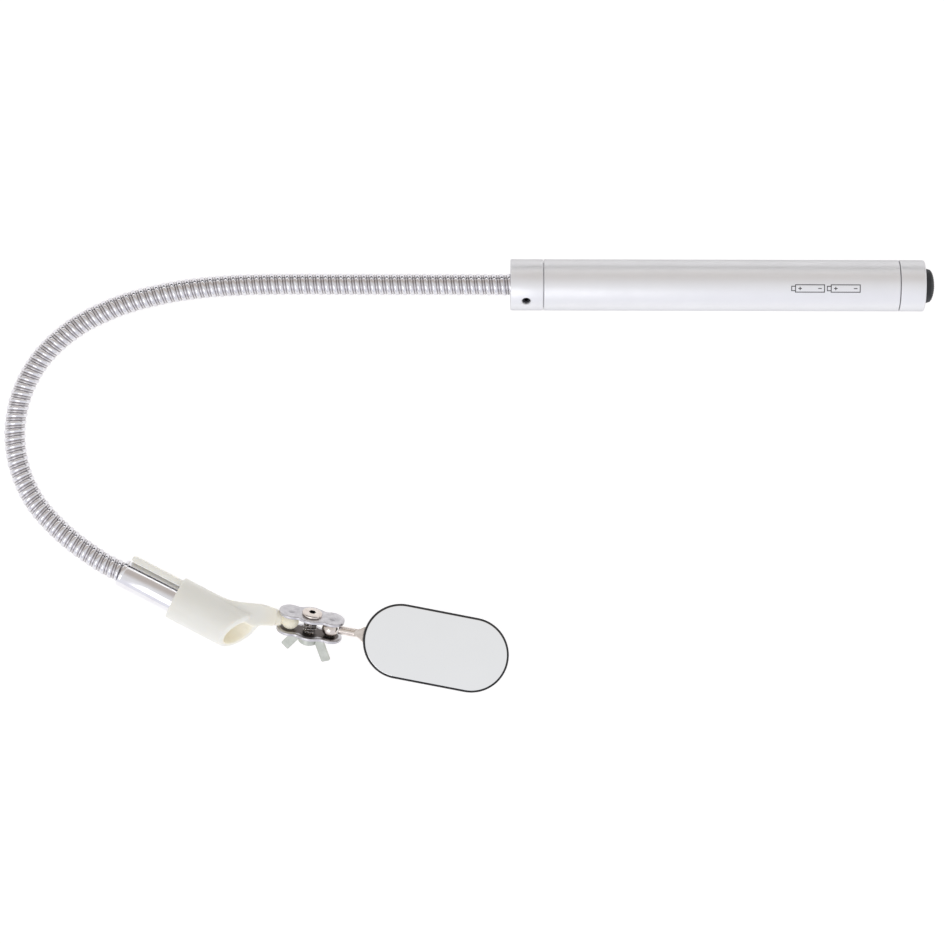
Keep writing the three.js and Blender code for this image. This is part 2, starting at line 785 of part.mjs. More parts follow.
function makeClampScrew() {
  const top = plateSeat + screwHeadHeight;
  const headRadius = screwHeadDiameter / 2;
  const shaft = turned([
    [0, screwTipAt],
    [screwDiameter / 2, screwTipAt],
    [screwDiameter / 2, plateSeat],
    [headRadius, plateSeat],
    [headRadius, top - edgeBreak],
    [headRadius - edgeBreak, top],
    [0, top],
  ], 28);
  const socket = rod(screwSocket / 2, top - screwSocketDepth, top + 1, 6);
  return alongZ(cut(shaft, socket));
}

// A wing is a flat blade in one plane with the screw
function makeWing(side) {
  const top = -(plateSeat + wingLow);
  const root = hubDiameter / 2 - wingRootIn;
  const along = new THREE.Vector2(Math.sin(degrees(wingSplay)), -Math.cos(degrees(wingSplay)));
  const across = new THREE.Vector2(-along.y, along.x);
  const end = new THREE.Vector2(wingReach, -(plateSeat + wingDrop));
  const outerEnd = end.clone().addScaledVector(across, wingWidth / 2);
  const innerEnd = end.clone().addScaledVector(across, -wingWidth / 2);
  const toShoulder = (outerEnd.y - top + wingShoulder) / along.y;
  const outer = outerEnd.clone().addScaledVector(along, -toShoulder);
  const toRoot = (innerEnd.y - top + wingRootHeight) / along.y;
  const inner = innerEnd.clone().addScaledVector(along, -toRoot);
  const outline = new THREE.Shape();
  outline.moveTo(root, top);
  outline.lineTo(outer.x - 2 * wingShoulder, top);
  outline.lineTo(outer.x, outer.y);
  outline.lineTo(outerEnd.x, outerEnd.y);
  outline.lineTo(innerEnd.x, innerEnd.y);
  outline.lineTo(inner.x, inner.y);
  outline.lineTo(root, inner.y);
  outline.closePath();
  const wing = slab(outline, -wingThickness / 2, wingThickness / 2).rotateX(Math.PI / 2);
  return side > 0 ? wing : wing.rotateZ(Math.PI);
}

function makeWingNut() {
  const top = -plateSeat;
  const bottom = top - hubHeight;
  const radius = hubDiameter / 2;
  const holeRadius = screwDiameter / 2 + fit;
  const hub = alongZ(turned([
    [0, bottom - hubDome],
    [radius * 0.55, bottom - hubDome * 0.8],
    [radius * 0.9, bottom - hubDome * 0.2],
    [radius, bottom + edgeBreak],
    [radius, top],
    [0, top],
  ], 24));
  const hole = alongZ(rod(holeRadius, screwTipAt - seatGap, top + 1));
  return cut(join(hub, makeWing(1), makeWing(-1)), hole).rotateZ(degrees(wingTurn));
}

function makeClamp() {
  const clamp = new THREE.Group();
  clamp.position.x = ballSpacing / 2;
  clamp.rotation.x = degrees(clampRoll);
  piece(clamp, 'clamp_plate_upper', makePlate(1), brushedNickel);
  piece(clamp, 'clamp_plate_lower', makePlate(-1), brushedNickel);
  piece(clamp, 'clamp_screw', makeClampScrew(), warmNickel);
  const springRadius = screwDiameter / 2 + fit + clampSpringWire / 2;
  const springEnd = plateGap / 2 - clampSpringWire / 2 - fit;
  const coil = new HelixCurve(springRadius, springRadius, -springEnd, springEnd, clampSpringTurns);
  piece(clamp, 'clamp_spring', alongZ(wire(coil, clampSpringWire, 44)), springSteel);
  piece(clamp, 'wing_nut', makeWingNut(), warmNickel);
  return clamp;
}

// ---- mirror ----

function makeStem() {
  const radius = stemDiameter / 2;
  const half = spadeWidth / 2;
  const shaft = rod(radius, ballFlatAt + seatGap, spadeStart + spadeTaper + spadeCorner, 20);
  const outline = new THREE.Shape();
  outline.moveTo(spadeStart, -radius);
  outline.lineTo(spadeStart + spadeTaper, -half);
  outline.lineTo(spadeEnd - spadeCorner, -half);
  outline.lineTo(spadeEnd, -half + spadeCorner);
  outline.lineTo(spadeEnd, half - spadeCorner);
  outline.lineTo(spadeEnd - spadeCorner, half);
  outline.lineTo(spadeStart + spadeTaper, half);
  outline.lineTo(spadeStart, radius);
  outline.closePath();
  return join(shaft, slab(outline, radius - spadeThickness, radius));
}

function makeMirror() {
  const mirror = new THREE.Group();
  mirror.position.x = ballSpacing;
  mirror.rotation.order = 'ZYX';
  mirror.rotation.y = degrees(mirrorDip);
  mirror.rotation.x = degrees(mirrorRoll);
  piece(mirror, 'mirror_ball', makeBall(1), warmNickel);
  piece(mirror, 'mirror_stem', makeStem(), warmNickel);
  const back = stemDiameter / 2 + seatGap;
  const top = back + frameHeight;
  const shell = slab(obround(mirrorLength, mirrorWidth, stemToMirror), back, top, 12);
  const pocketLength = mirrorLength - 2 * frameRim;
  const pocketWidth = mirrorWidth - 2 * frameRim;
  const pocket = slab(obround(pocketLength, pocketWidth, stemToMirror), back + frameFloor, top + 1, 12);
  piece(mirror, 'mirror_frame', cut(shell, pocket), blackRim);
  const glassOutline = obround(pocketLength - 2 * fit, pocketWidth - 2 * fit, stemToMirror);
  const glassBack = back + frameFloor + seatGap;
  piece(mirror, 'mirror_glass', slab(glassOutline, glassBack, glassBack + glassThickness, 12), mirrorSilver);
  return mirror;
}

// ---- assembly: the origin is under the middle of the whole object ----

const hinges = hingePoints();
const assembly = new THREE.Group();
assembly.add(makeHandle(), makeNeck(hinges), makeHead(headStart(hinges)));
piece(assembly, 'led_cable', makeCable(hinges), cableJacket);

const inspectionMirror = new THREE.Group();
inspectionMirror.add(assembly);
inspectionMirror.updateMatrixWorld(true);
const extent = new THREE.Box3().setFromObject(inspectionMirror, true);
assembly.position.set(-(extent.min.x + extent.max.x) / 2, -(extent.min.y + extent.max.y) / 2, -extent.min.z);

export default inspectionMirror;
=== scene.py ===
import json
import math

import bmesh
import bpy
from mathutils import Matrix, Vector

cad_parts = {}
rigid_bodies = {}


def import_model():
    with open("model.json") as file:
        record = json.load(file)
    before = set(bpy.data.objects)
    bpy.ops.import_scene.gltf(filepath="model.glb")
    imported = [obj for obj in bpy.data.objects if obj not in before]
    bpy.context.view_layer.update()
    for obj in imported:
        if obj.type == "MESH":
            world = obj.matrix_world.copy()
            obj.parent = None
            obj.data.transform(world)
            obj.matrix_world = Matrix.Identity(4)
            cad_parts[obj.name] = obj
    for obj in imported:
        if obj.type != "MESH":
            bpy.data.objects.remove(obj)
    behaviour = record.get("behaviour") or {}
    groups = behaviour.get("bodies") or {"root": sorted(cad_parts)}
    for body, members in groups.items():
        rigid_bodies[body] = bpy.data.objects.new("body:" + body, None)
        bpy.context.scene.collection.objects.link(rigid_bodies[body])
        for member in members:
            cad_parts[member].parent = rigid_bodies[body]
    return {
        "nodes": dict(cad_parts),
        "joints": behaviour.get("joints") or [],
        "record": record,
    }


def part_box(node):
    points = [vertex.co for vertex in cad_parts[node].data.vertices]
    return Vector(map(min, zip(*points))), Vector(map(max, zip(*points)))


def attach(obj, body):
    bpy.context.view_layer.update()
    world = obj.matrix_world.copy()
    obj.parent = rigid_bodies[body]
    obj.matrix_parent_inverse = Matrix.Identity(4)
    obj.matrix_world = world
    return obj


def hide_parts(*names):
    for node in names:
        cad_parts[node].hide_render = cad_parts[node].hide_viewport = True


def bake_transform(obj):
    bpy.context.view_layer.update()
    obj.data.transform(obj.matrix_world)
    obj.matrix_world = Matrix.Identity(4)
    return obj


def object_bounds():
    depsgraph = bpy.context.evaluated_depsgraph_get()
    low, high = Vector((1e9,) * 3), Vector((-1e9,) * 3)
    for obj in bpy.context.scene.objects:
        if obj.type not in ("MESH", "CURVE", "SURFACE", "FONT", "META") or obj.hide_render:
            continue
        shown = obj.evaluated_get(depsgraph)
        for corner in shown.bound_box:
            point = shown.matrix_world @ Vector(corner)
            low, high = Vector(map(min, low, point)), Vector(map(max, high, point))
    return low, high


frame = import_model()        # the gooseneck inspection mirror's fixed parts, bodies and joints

cadLow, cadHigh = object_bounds()
scene = bpy.context.scene
print("frame loaded:", len(frame["nodes"]), "nodes")

mm = 0.001
fullTurn = 2 * math.pi
joints = {joint["name"]: joint for joint in frame["joints"]}
mounts = {mount["name"]: mount for mount in frame["record"]["mounts"]}

# ---- where things are ----


def nodeBox(node):
    low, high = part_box(node)
    return Vector(low) / mm, Vector(high) / mm


def placeAt(origin, along, up):  # takes a shape in millimetres to its place in metres
    x = Vector(along).normalized()
    z = Vector(up)
    z = (z - x * z.dot(x)).normalized()
    turn = Matrix((x, z.cross(x), z)).transposed().to_4x4()
    return Matrix.Translation(Vector(origin)) @ turn @ Matrix.Scale(mm, 4)


def jointPoint(name):
    return Vector(joints[name]["pos_m"])


up = Vector((0, 0, 1))
tubeLow, tubeHigh = nodeBox("handle_tube")
collarLow, collarHigh = nodeBox("front_collar")
handleMiddle = (tubeLow + tubeHigh) / 2
handlePlace = placeAt(Vector((collarLow.x, handleMiddle.y, handleMiddle.z)) * mm, (1, 0, 0), up)
headPlace = placeAt(jointPoint("clip_turn"), joints["clip_turn"]["axis"], up)
armPlace = placeAt(jointPoint("clamp_roll"), joints["clamp_roll"]["axis"], up)
screwAxis = Vector(joints["clamp_swing"]["axis"])
ballToBall = jointPoint("mirror_swing") - jointPoint("clamp_swing")
clampPlace = placeAt(jointPoint("wing_nut_turn"), ballToBall, screwAxis)
mirrorPlace = placeAt(
    jointPoint("mirror_swing"), joints["mirror_roll"]["axis"], mounts["mirror_face"]["axis"],
)

# ---- shaping helpers, all in millimetres ----


def turned(profile, steps=96, closed=False, shape=None):  # [x, radius] pairs, turned about the X axis
    shape = shape or bmesh.new()
    corners = [shape.verts.new((x, 0, radius)) for x, radius in profile]
    edges = [shape.edges.new(pair) for pair in zip(corners, corners[1:])]
    if closed:
        edges.append(shape.edges.new((corners[-1], corners[0])))
    bmesh.ops.spin(
        shape, geom=corners + edges, cent=(0, 0, 0), axis=(1, 0, 0), dvec=(0, 0, 0),
        angle=fullTurn, steps=steps, use_merge=True, use_duplicate=False,
    )
    bmesh.ops.remove_doubles(shape, verts=shape.verts, dist=1e-4)
    bmesh.ops.recalc_face_normals(shape, faces=shape.faces)
    return shape


def ringOf(start, end, inner, outer, steps=96):
    return turned([(start, inner), (start, outer), (end, outer), (end, inner)], steps, closed=True)


def rodOf(start, end, radius, steps=48):
    return turned([(start, 0), (start, radius), (end, radius), (end, 0)], steps)


def ballOf(radius, centre=(0, 0, 0), steps=48):
    shape = bmesh.new()
    bmesh.ops.create_uvsphere(
        shape, u_segments=steps, v_segments=steps // 2, radius=radius, matrix=Matrix.Translation(centre),
    )
    return shape


def blockOf(low, high):
    shape = bmesh.new()
    size = Vector(high) - Vector(low)
    middle = (Vector(high) + Vector(low)) / 2
    bmesh.ops.create_cube(shape, size=1, matrix=Matrix.Translation(middle) @ Matrix.Diagonal((*size, 1)))
    return shape


def arcFrom(shape, corner, centre, degrees, steps):  # adds an arc of edges in the XY plane, returns its end
    made = bmesh.ops.spin(
        shape, geom=[corner], cent=centre, axis=(0, 0, 1), dvec=(0, 0, 0), angle=math.radians(degrees),
        steps=steps, use_merge=False, use_duplicate=False,
    )
    return next(item for item in made["geom_last"] if isinstance(item, bmesh.types.BMVert))


def lineTo(shape, corner, place):
    end = shape.verts.new((*place, 0))
    shape.edges.new((corner, end))
    return end


def lineBack(shape, corner):  # closes an outline
    shape.verts.ensure_lookup_table()
    shape.edges.new((corner, shape.verts[0]))


def slabFrom(shape, low, high):  # fills the closed outline in the XY plane and gives it a thickness
    bmesh.ops.remove_doubles(shape, verts=shape.verts, dist=1e-4)
    face = bmesh.ops.contextual_create(shape, geom=shape.edges[:])["faces"]
    bmesh.ops.translate(shape, vec=(0, 0, low), verts=shape.verts)
    raised = bmesh.ops.extrude_face_region(shape, geom=face, use_keep_orig=True)["geom"]
    upper = [item for item in raised if isinstance(item, bmesh.types.BMVert)]
    bmesh.ops.translate(shape, vec=(0, 0, high - low), verts=upper)
    bmesh.ops.recalc_face_normals(shape, faces=shape.faces)
    return shape


def obround(length, width, steps=40):
    shape = bmesh.new()
    reach = (length - width) / 2
    corner = shape.verts.new((reach, -width / 2, 0))
    corner = arcFrom(shape, corner, (reach, 0, 0), 180, steps)
    corner = lineTo(shape, corner, (-reach, width / 2))
    corner = arcFrom(shape, corner, (-reach, 0, 0), 180, steps)
    lineBack(shape, corner)
    return shape


def softenEdges(shape, width, segments=3, sharperThan=35, where=None):
    limit = math.radians(sharperThan)
    edges = [
        edge for edge in shape.edges
        if len(edge.link_faces) == 2 and edge.calc_face_angle(0) > limit and (where is None or where(edge))
    ]
    bmesh.ops.bevel(
        shape, geom=edges, offset=width, segments=segments, profile=0.5, affect="EDGES",
        clamp_overlap=True, material=-1,
    )
    return shape


def moved(shape, matrix):
    bmesh.ops.transform(shape, matrix=matrix, verts=shape.verts)
    return shape


def alongZ(shape):  # a shape turned about X is stood up along Z
    return moved(shape, Matrix.Rotation(-math.pi / 2, 4, "Y"))


def workObject(shape, name="work"):
    mesh = bpy.data.meshes.new(name)
    shape.to_mesh(mesh)
    shape.free()
    work = bpy.data.objects.new(name, mesh)
    scene.collection.objects.link(work)
    return work


def finishWork(work, *helpers):  # applies the modifiers and gives the shape back
    evaluated = work.evaluated_get(bpy.context.evaluated_depsgraph_get())
    shape = bmesh.new()
    shape.from_mesh(evaluated.to_mesh())
    evaluated.to_mesh_clear()
    for used in (work, *helpers):
        bpy.data.objects.remove(used)
    return shape


def combine(base, tools, operation="DIFFERENCE"):
    work = workObject(base)
    helpers = [workObject(tool, "tool") for tool in tools]
    for helper in helpers:
        step = work.modifiers.new("combine", "BOOLEAN")
        step.operation = operation
        step.solver = "EXACT"
        step.object = helper
    shape = finishWork(work, *helpers)
    bmesh.ops.remove_doubles(shape, verts=shape.verts, dist=1e-4)
    return shape


def moulded(shape, grain, smoothing):  # an even skin with softened corners, as on cast or pressed pieces
    work = workObject(shape)
    remesh = work.modifiers.new("skin", "REMESH")
    remesh.mode = "VOXEL"
    remesh.voxel_size = grain
    soften = work.modifiers.new("soften", "SMOOTH")
    soften.factor = 0.5
    soften.iterations = smoothing
    return finishWork(work)


def screwSurface(profile, pitch, start, end, steps, bore=0):  # [share of the pitch, radius] pairs
    shape = bmesh.new()
    firstTurn = math.floor(start / pitch) - 1
    turns = math.ceil(end / pitch) + 1 - firstTurn
    corners = [shape.verts.new(((firstTurn + share) * pitch, 0, radius)) for share, radius in profile]
    edges = [shape.edges.new(pair) for pair in zip(corners, corners[1:])]
    bmesh.ops.spin(
        shape, geom=corners + edges, cent=(0, 0, 0), axis=(1, 0, 0), dvec=(pitch / steps, 0, 0),
        angle=fullTurn * turns, steps=steps * turns, use_merge=False, use_duplicate=False,
    )
    bmesh.ops.remove_doubles(shape, verts=shape.verts, dist=1e-3)
    for place, side in ((start, -1), (end, 1)):
        bmesh.ops.bisect_plane(
            shape, geom=shape.verts[:] + shape.edges[:] + shape.faces[:], dist=1e-5,
            plane_co=(place, 0, 0), plane_no=(side, 0, 0), clear_outer=True,
        )
    rims = {}
    for place in (start, end):
        rims[place] = [
            edge for edge in shape.edges
            if edge.is_boundary and all(abs(corner.co.x - place) < 1e-3 for corner in edge.verts)
        ]
    if bore == 0:
        for rim in rims.values():
            bmesh.ops.holes_fill(shape, edges=rim, sides=0)
    else:
        stand = Matrix.Rotation(math.pi / 2, 4, "Y")
        loops = []
        for place, rim in rims.items():
            facing = Matrix.Translation((place, 0, 0)) @ stand
            made = bmesh.ops.create_circle(
                shape, cap_ends=False, segments=steps, radius=bore, matrix=facing,
            )
            loop = list({edge for corner in made["verts"] for edge in corner.link_edges})
            bmesh.ops.bridge_loops(shape, edges=rim + loop)
            loops += loop
        wall = bmesh.ops.bridge_loops(shape, edges=loops)
        bmesh.ops.subdivide_edges(shape, edges=wall["edges"], cuts=5)
    bmesh.ops.recalc_face_normals(shape, faces=shape.faces)
    return shape


def coilOf(radius, wire, start, end, turns, steps=24, sides=10, endRadius=None):  # a wire spring along X
    shape = bmesh.new()
    made = bmesh.ops.create_circle(
        shape, cap_ends=True, segments=sides, radius=wire / 2,
        matrix=Matrix.Translation((start, 0, radius)) @ Matrix.Rotation(math.pi / 2, 4, "X"),
    )
    total = round(steps * turns)
    bmesh.ops.spin(
        shape, geom=made["verts"] + list({e for v in made["verts"] for e in v.link_edges}) + shape.faces[:],
        cent=(0, 0, 0), axis=(1, 0, 0), dvec=((end - start) / total, 0, 0), angle=fullTurn * turns,
        steps=total, use_merge=False, use_duplicate=False,
    )
    if endRadius is not None:
        for corner in shape.verts:
            share = (corner.co.x - start) / (end - start)
            grow = 1 + (endRadius / radius - 1) * share
            corner.co.y *= grow
            corner.co.z *= grow
    bmesh.ops.remove_doubles(shape, verts=shape.verts, dist=1e-4)
    bmesh.ops.recalc_face_normals(shape, faces=shape.faces)
    return shape


def joinShapes(first, *others):  # separate bodies of one piece
    for other in others:
        mesh = bpy.data.meshes.new("join")
        other.to_mesh(mesh)
        other.free()
        first.from_mesh(mesh)
        bpy.data.meshes.remove(mesh)
    return first


def makePiece(name, shape, place, material, body, nodes=(), sharp=35, measure=None):
    if measure is not None:  # a value for each corner, read by the piece's material
        layer = shape.verts.layers.float.new("depth")
        for corner in shape.verts:
            corner[layer] = measure(corner.co)
    if place is not None:
        moved(shape, place)
    mesh = bpy.data.meshes.new(name)
    shape.to_mesh(mesh)
    shape.free()
    mesh.materials.append(material)
    mesh.shade_smooth()
    mesh.set_sharp_from_angle(angle=math.radians(sharp))
    piece = bpy.data.objects.new(name, mesh)
    scene.collection.objects.link(piece)
    if nodes:
        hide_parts(*nodes)
    if body is not None:
        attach(piece, body)
    return piece


# ---- materials ----


def newGroup(name, inputs, outputs):
    group = bpy.data.node_groups.new(name, "ShaderNodeTree")
    for label, kind, value in inputs:
        socket = group.interface.new_socket(label, in_out="INPUT", socket_type=kind)
        if value is not None:
            socket.default_value = value
    for label, kind in outputs:
        group.interface.new_socket(label, in_out="OUTPUT", socket_type=kind)
    return group, group.nodes.new("NodeGroupInput"), group.nodes.new("NodeGroupOutput")


def rangeNode(tree, source, fromLow, fromHigh, toLow, toHigh):
    node = tree.nodes.new("ShaderNodeMapRange")
    tree.links.new(source, node.inputs["Value"])
    ends = {"From Min": fromLow, "From Max": fromHigh, "To Min": toLow, "To Max": toHigh}
    for label, value in ends.items():
        if isinstance(value, (int, float)):
            node.inputs[label].default_value = value
        else:
            tree.links.new(value, node.inputs[label])
    return node.outputs["Result"]


def noiseNode(tree, vector, scale, detail=4.0, roughness=0.5):
    node = tree.nodes.new("ShaderNodeTexNoise")
    tree.links.new(vector, node.inputs["Vector"])
    for label, value in (("Scale", scale), ("Detail", detail), ("Roughness", roughness)):
        if isinstance(value, (int, float)):
            node.inputs[label].default_value = value
        else:
            tree.links.new(value, node.inputs[label])
    return node.outputs["Fac"]


def buildMottle():  # slow changes of tone over a surface
    group, given, out = newGroup(
        "softMottle",
        [("Vector", "NodeSocketVector", None), ("Scale", "NodeSocketFloat", 200.0),
         ("Low", "NodeSocketFloat", 0.0), ("High", "NodeSocketFloat", 1.0)],
        [("Value", "NodeSocketFloat")],
    )
    fac = noiseNode(group, given.outputs["Vector"], given.outputs["Scale"], 3.0, 0.55)
    spread = rangeNode(group, fac, 0.3, 0.7, given.outputs["Low"], given.outputs["High"])
    group.links.new(spread, out.inputs["Value"])
    return group


def buildGrain():  # fine lines along one direction, from a stretched vector
    group, given, out = newGroup(
        "fineLines",
        [("Vector", "NodeSocketVector", None), ("Stretch", "NodeSocketVector", (1.0, 1.0, 1.0)),
         ("Scale", "NodeSocketFloat", 1000.0)],
        [("Height", "NodeSocketFloat")],
    )
    stretch = group.nodes.new("ShaderNodeVectorMath")
    stretch.operation = "MULTIPLY"
    group.links.new(given.outputs["Vector"], stretch.inputs[0])
    group.links.new(given.outputs["Stretch"], stretch.inputs[1])
    fac = noiseNode(group, stretch.outputs["Vector"], given.outputs["Scale"], 5.0, 0.6)
    group.links.new(fac, out.inputs["Height"])
    return group


def buildSpecks():  # sparse small marks: dust, pits and handling
    group, given, out = newGroup(
        "sparseSpecks",
        [("Vector", "NodeSocketVector", None), ("Scale", "NodeSocketFloat", 900.0),
         ("Amount", "NodeSocketFloat", 0.1)],
        [("Mask", "NodeSocketFloat")],
    )
    cells = group.nodes.new("ShaderNodeTexVoronoi")
    group.links.new(given.outputs["Vector"], cells.inputs["Vector"])
    group.links.new(given.outputs["Scale"], cells.inputs["Scale"])
    dots = rangeNode(group, cells.outputs["Distance"], 0.0, 0.25, 1.0, 0.0)
    here = noiseNode(group, given.outputs["Vector"], 90.0, 2.0)
    gate = rangeNode(group, here, 0.5, 0.62, 0.0, given.outputs["Amount"])
    product = group.nodes.new("ShaderNodeMath")
    product.operation = "MULTIPLY"
    group.links.new(dots, product.inputs[0])
    group.links.new(gate, product.inputs[1])
    group.links.new(product.outputs["Value"], out.inputs["Mask"])
    return group


mottle = buildMottle()
grain = buildGrain()
specks = buildSpecks()


def useGroup(tree, group, vector, **values):
    node = tree.nodes.new("ShaderNodeGroup")
    node.node_tree = group
    tree.links.new(vector, node.inputs["Vector"])
    for label, value in values.items():
        node.inputs[label].default_value = value
    return node.outputs[0]


def newMaterial(name, settings):
    material = bpy.data.materials.new(name)
    material.use_nodes = True
    tree = material.node_tree
    shader = tree.nodes["Principled BSDF"]
    for label, value in settings.items():
        shader.inputs[label].default_value = value
    where = tree.nodes.new("ShaderNodeTexCoord").outputs["Object"]
    return material, tree, shader, where


def blendColours(tree, fac, first, second):
    node = tree.nodes.new("ShaderNodeMix")
    node.data_type = "RGBA"
    tree.links.new(fac, node.inputs["Factor"])
    for socket, colour in ((node.inputs["A"], first), (node.inputs["B"], second)):
        if isinstance(colour, tuple):
            socket.default_value = (*colour, 1)
        else:
            tree.links.new(colour, socket)
    return node.outputs["Result"]


def addBump(tree, shader, height, strength, distance):
    bump = tree.nodes.new("ShaderNodeBump")
    bump.inputs["Strength"].default_value = strength
    bump.inputs["Distance"].default_value = distance
    tree.links.new(height, bump.inputs["Height"])
    tree.links.new(bump.outputs["Normal"], shader.inputs["Normal"])


def attributeNode(tree, name="depth"):
    node = tree.nodes.new("ShaderNodeAttribute")
    node.attribute_name = name
    return node.outputs["Fac"]


def surfaceOf(name, settings, light, dark, tone, rough, line=None, speck=None):
    # tone and rough are (scale, low, high), line is (stretch, scale, strength, distance)
    # and speck is (scale, amount)
    material, tree, shader, where = newMaterial(name, settings)
    toneMask = useGroup(tree, mottle, where, Scale=tone[0], Low=tone[1], High=tone[2])
    colour = blendColours(tree, toneMask, light, dark)
    if speck is not None:
        marks = useGroup(tree, specks, where, Scale=speck[0], Amount=speck[1])
        colour = blendColours(tree, marks, colour, dark)
    tree.links.new(colour, shader.inputs["Base Color"])
    gloss = useGroup(tree, mottle, where, Scale=rough[0], Low=rough[1], High=rough[2])
    tree.links.new(gloss, shader.inputs["Roughness"])
    if line is not None:
        height = useGroup(tree, grain, where, Stretch=line[0], Scale=line[1])
        addBump(tree, shader, height, line[2], line[3])
    return material


anodisedEdge = (0.35, 0.35, 0.36, 1)  # the metal's reflection at a low angle
satinAluminium = surfaceOf(
    "satin anodised aluminium", {"Metallic": 0.6, "Specular Tint": anodisedEdge},
    (0.88, 0.885, 0.905), (0.85, 0.855, 0.875),
    (60, 0.0, 1.0), (240, 0.38, 0.46), ((1, 1, 1), 9000, 0.12, 0.00005), (1500, 0.15),
)
turnedAluminium = surfaceOf(
    "turned anodised aluminium", {"Metallic": 0.6, "Specular Tint": anodisedEdge},
    (0.88, 0.885, 0.905), (0.85, 0.855, 0.875),
    (60, 0.0, 1.0), (240, 0.36, 0.44), ((1, 0.02, 0.02), 6000, 0.15, 0.00005), (1500, 0.15),
)
headChrome = surfaceOf(
    "polished chrome tube", {"Metallic": 1.0}, (0.86, 0.86, 0.88), (0.80, 0.79, 0.82),
    (160, 0.0, 1.0), (300, 0.13, 0.20), ((0.03, 1, 1), 2600, 0.14, 0.00005), (1300, 0.2),
)
plateNickel = surfaceOf(
    "dull nickel plate", {"Metallic": 1.0}, (0.66, 0.65, 0.67), (0.50, 0.49, 0.51),
    (420, 0.0, 1.0), (500, 0.26, 0.40), ((1, 0.15, 0.3), 3000, 0.25, 0.00008), (1600, 0.5),
)
warmNickel = surfaceOf(
    "bright nickel", {"Metallic": 1.0}, (0.80, 0.74, 0.69), (0.66, 0.59, 0.54),
    (400, 0.0, 1.0), (420, 0.10, 0.22), ((1, 0.2, 0.2), 3000, 0.12, 0.00005), (1400, 0.3),
)
paleNickel = surfaceOf(
    "stamped nickel", {"Metallic": 0.85}, (0.60, 0.62, 0.57), (0.47, 0.49, 0.44),
    (380, 0.0, 1.0), (420, 0.28, 0.40), ((1, 1, 1), 2500, 0.2, 0.00008), (1400, 0.35),
)
springSteel = surfaceOf(
    "drawn spring wire", {"Metallic": 1.0}, (0.34, 0.32, 0.31), (0.19, 0.18, 0.18),
    (700, 0.0, 1.0), (700, 0.18, 0.32), ((1, 1, 1), 5000, 0.2, 0.00004),
)
# black oxide steel for the set screw; also painted shade lining the clamp screw's socket
darkSteelAndSocketShade = surfaceOf(
    "black oxide steel and painted socket shade", {"Metallic": 1.0}, (0.07, 0.07, 0.08), (0.04, 0.04, 0.045),
    (900, 0.0, 1.0), (900, 0.3, 0.45), ((1, 1, 1), 5000, 0.2, 0.00004),
)
blackRubber = surfaceOf(
    "black moulded rubber", {"Specular IOR Level": 0.4}, (0.030, 0.033, 0.037), (0.018, 0.020, 0.023),
    (500, 0.0, 1.0), (600, 0.5, 0.7), ((1, 1, 1), 7000, 0.3, 0.00004), (1800, 0.3),
)
blackRim = surfaceOf(
    "satin black shell", {"Specular IOR Level": 0.45}, (0.020, 0.021, 0.023), (0.012, 0.013, 0.014),
    (300, 0.0, 1.0), (500, 0.32, 0.48), ((1, 1, 1), 6000, 0.15, 0.00004), (1500, 0.3),
)
mirrorSilver = surfaceOf(
    "silvered glass", {"Metallic": 1.0}, (0.93, 0.94, 0.945), (0.92, 0.93, 0.935),
    (80, 0.0, 1.0), (150, 0.008, 0.02),
)
brass = surfaceOf(
    "bright brass", {"Metallic": 1.0}, (0.78, 0.58, 0.25), (0.66, 0.47, 0.19),
    (600, 0.0, 1.0), (600, 0.2, 0.32), ((1, 0.1, 0.1), 4000, 0.15, 0.00004),
)
cellJacket = surfaceOf(
    "battery sleeve", {"Coat Weight": 0.5, "Coat Roughness": 0.15},
    (0.05, 0.055, 0.062), (0.035, 0.04, 0.045),
    (120, 0.0, 1.0), (300, 0.3, 0.4), ((0.1, 1, 1), 1500, 0.08, 0.00005),
)
boardGreen = surfaceOf(
    "circuit board", {"Specular IOR Level": 0.5}, (0.03, 0.16, 0.07), (0.02, 0.11, 0.05),
    (900, 0.0, 1.0), (900, 0.3, 0.5), ((1, 1, 1), 4000, 0.2, 0.00004),
)
blackPlastic = surfaceOf(
    "black switch plastic", {"Specular IOR Level": 0.5}, (0.025, 0.025, 0.026), (0.018, 0.018, 0.019),
    (500, 0.0, 1.0), (500, 0.35, 0.5), ((1, 1, 1), 6000, 0.2, 0.00004),
)
whitePlastic = surfaceOf(
    "white insulating plastic", {"Specular IOR Level": 0.5}, (0.82, 0.82, 0.80), (0.74, 0.74, 0.71),
    (400, 0.0, 1.0), (500, 0.4, 0.55), ((1, 1, 1), 5000, 0.15, 0.00004),
)
cableJacket = surfaceOf(
    "cable jacket", {"Specular IOR Level": 0.4}, (0.03, 0.03, 0.032), (0.02, 0.02, 0.021),
    (400, 0.0, 1.0), (500, 0.4, 0.55), ((1, 1, 1), 4000, 0.15, 0.00004),
)
printInk = surfaceOf(
    "grey print", {"Specular IOR Level": 0.3}, (0.045, 0.047, 0.05), (0.07, 0.072, 0.076),
    (900, 0.0, 1.0), (900, 0.45, 0.6), ((1, 1, 1), 9000, 0.1, 0.00002),
)


def shadeByDepth(material, tone):  # painted shade: depth is 1 on a plate's inner face, away from its rim, where shade falls between the plates
    tree = material.node_tree
    shader = tree.nodes["Principled BSDF"]
    colour = shader.inputs["Base Color"].links[0].from_socket
    colour = blendColours(tree, attributeNode(tree), colour, tone)
    tree.links.new(colour, shader.inputs["Base Color"])


# painted shade on the clamp plates' inner faces, where they face each other
shadeByDepth(plateNickel, (0.11, 0.095, 0.09))


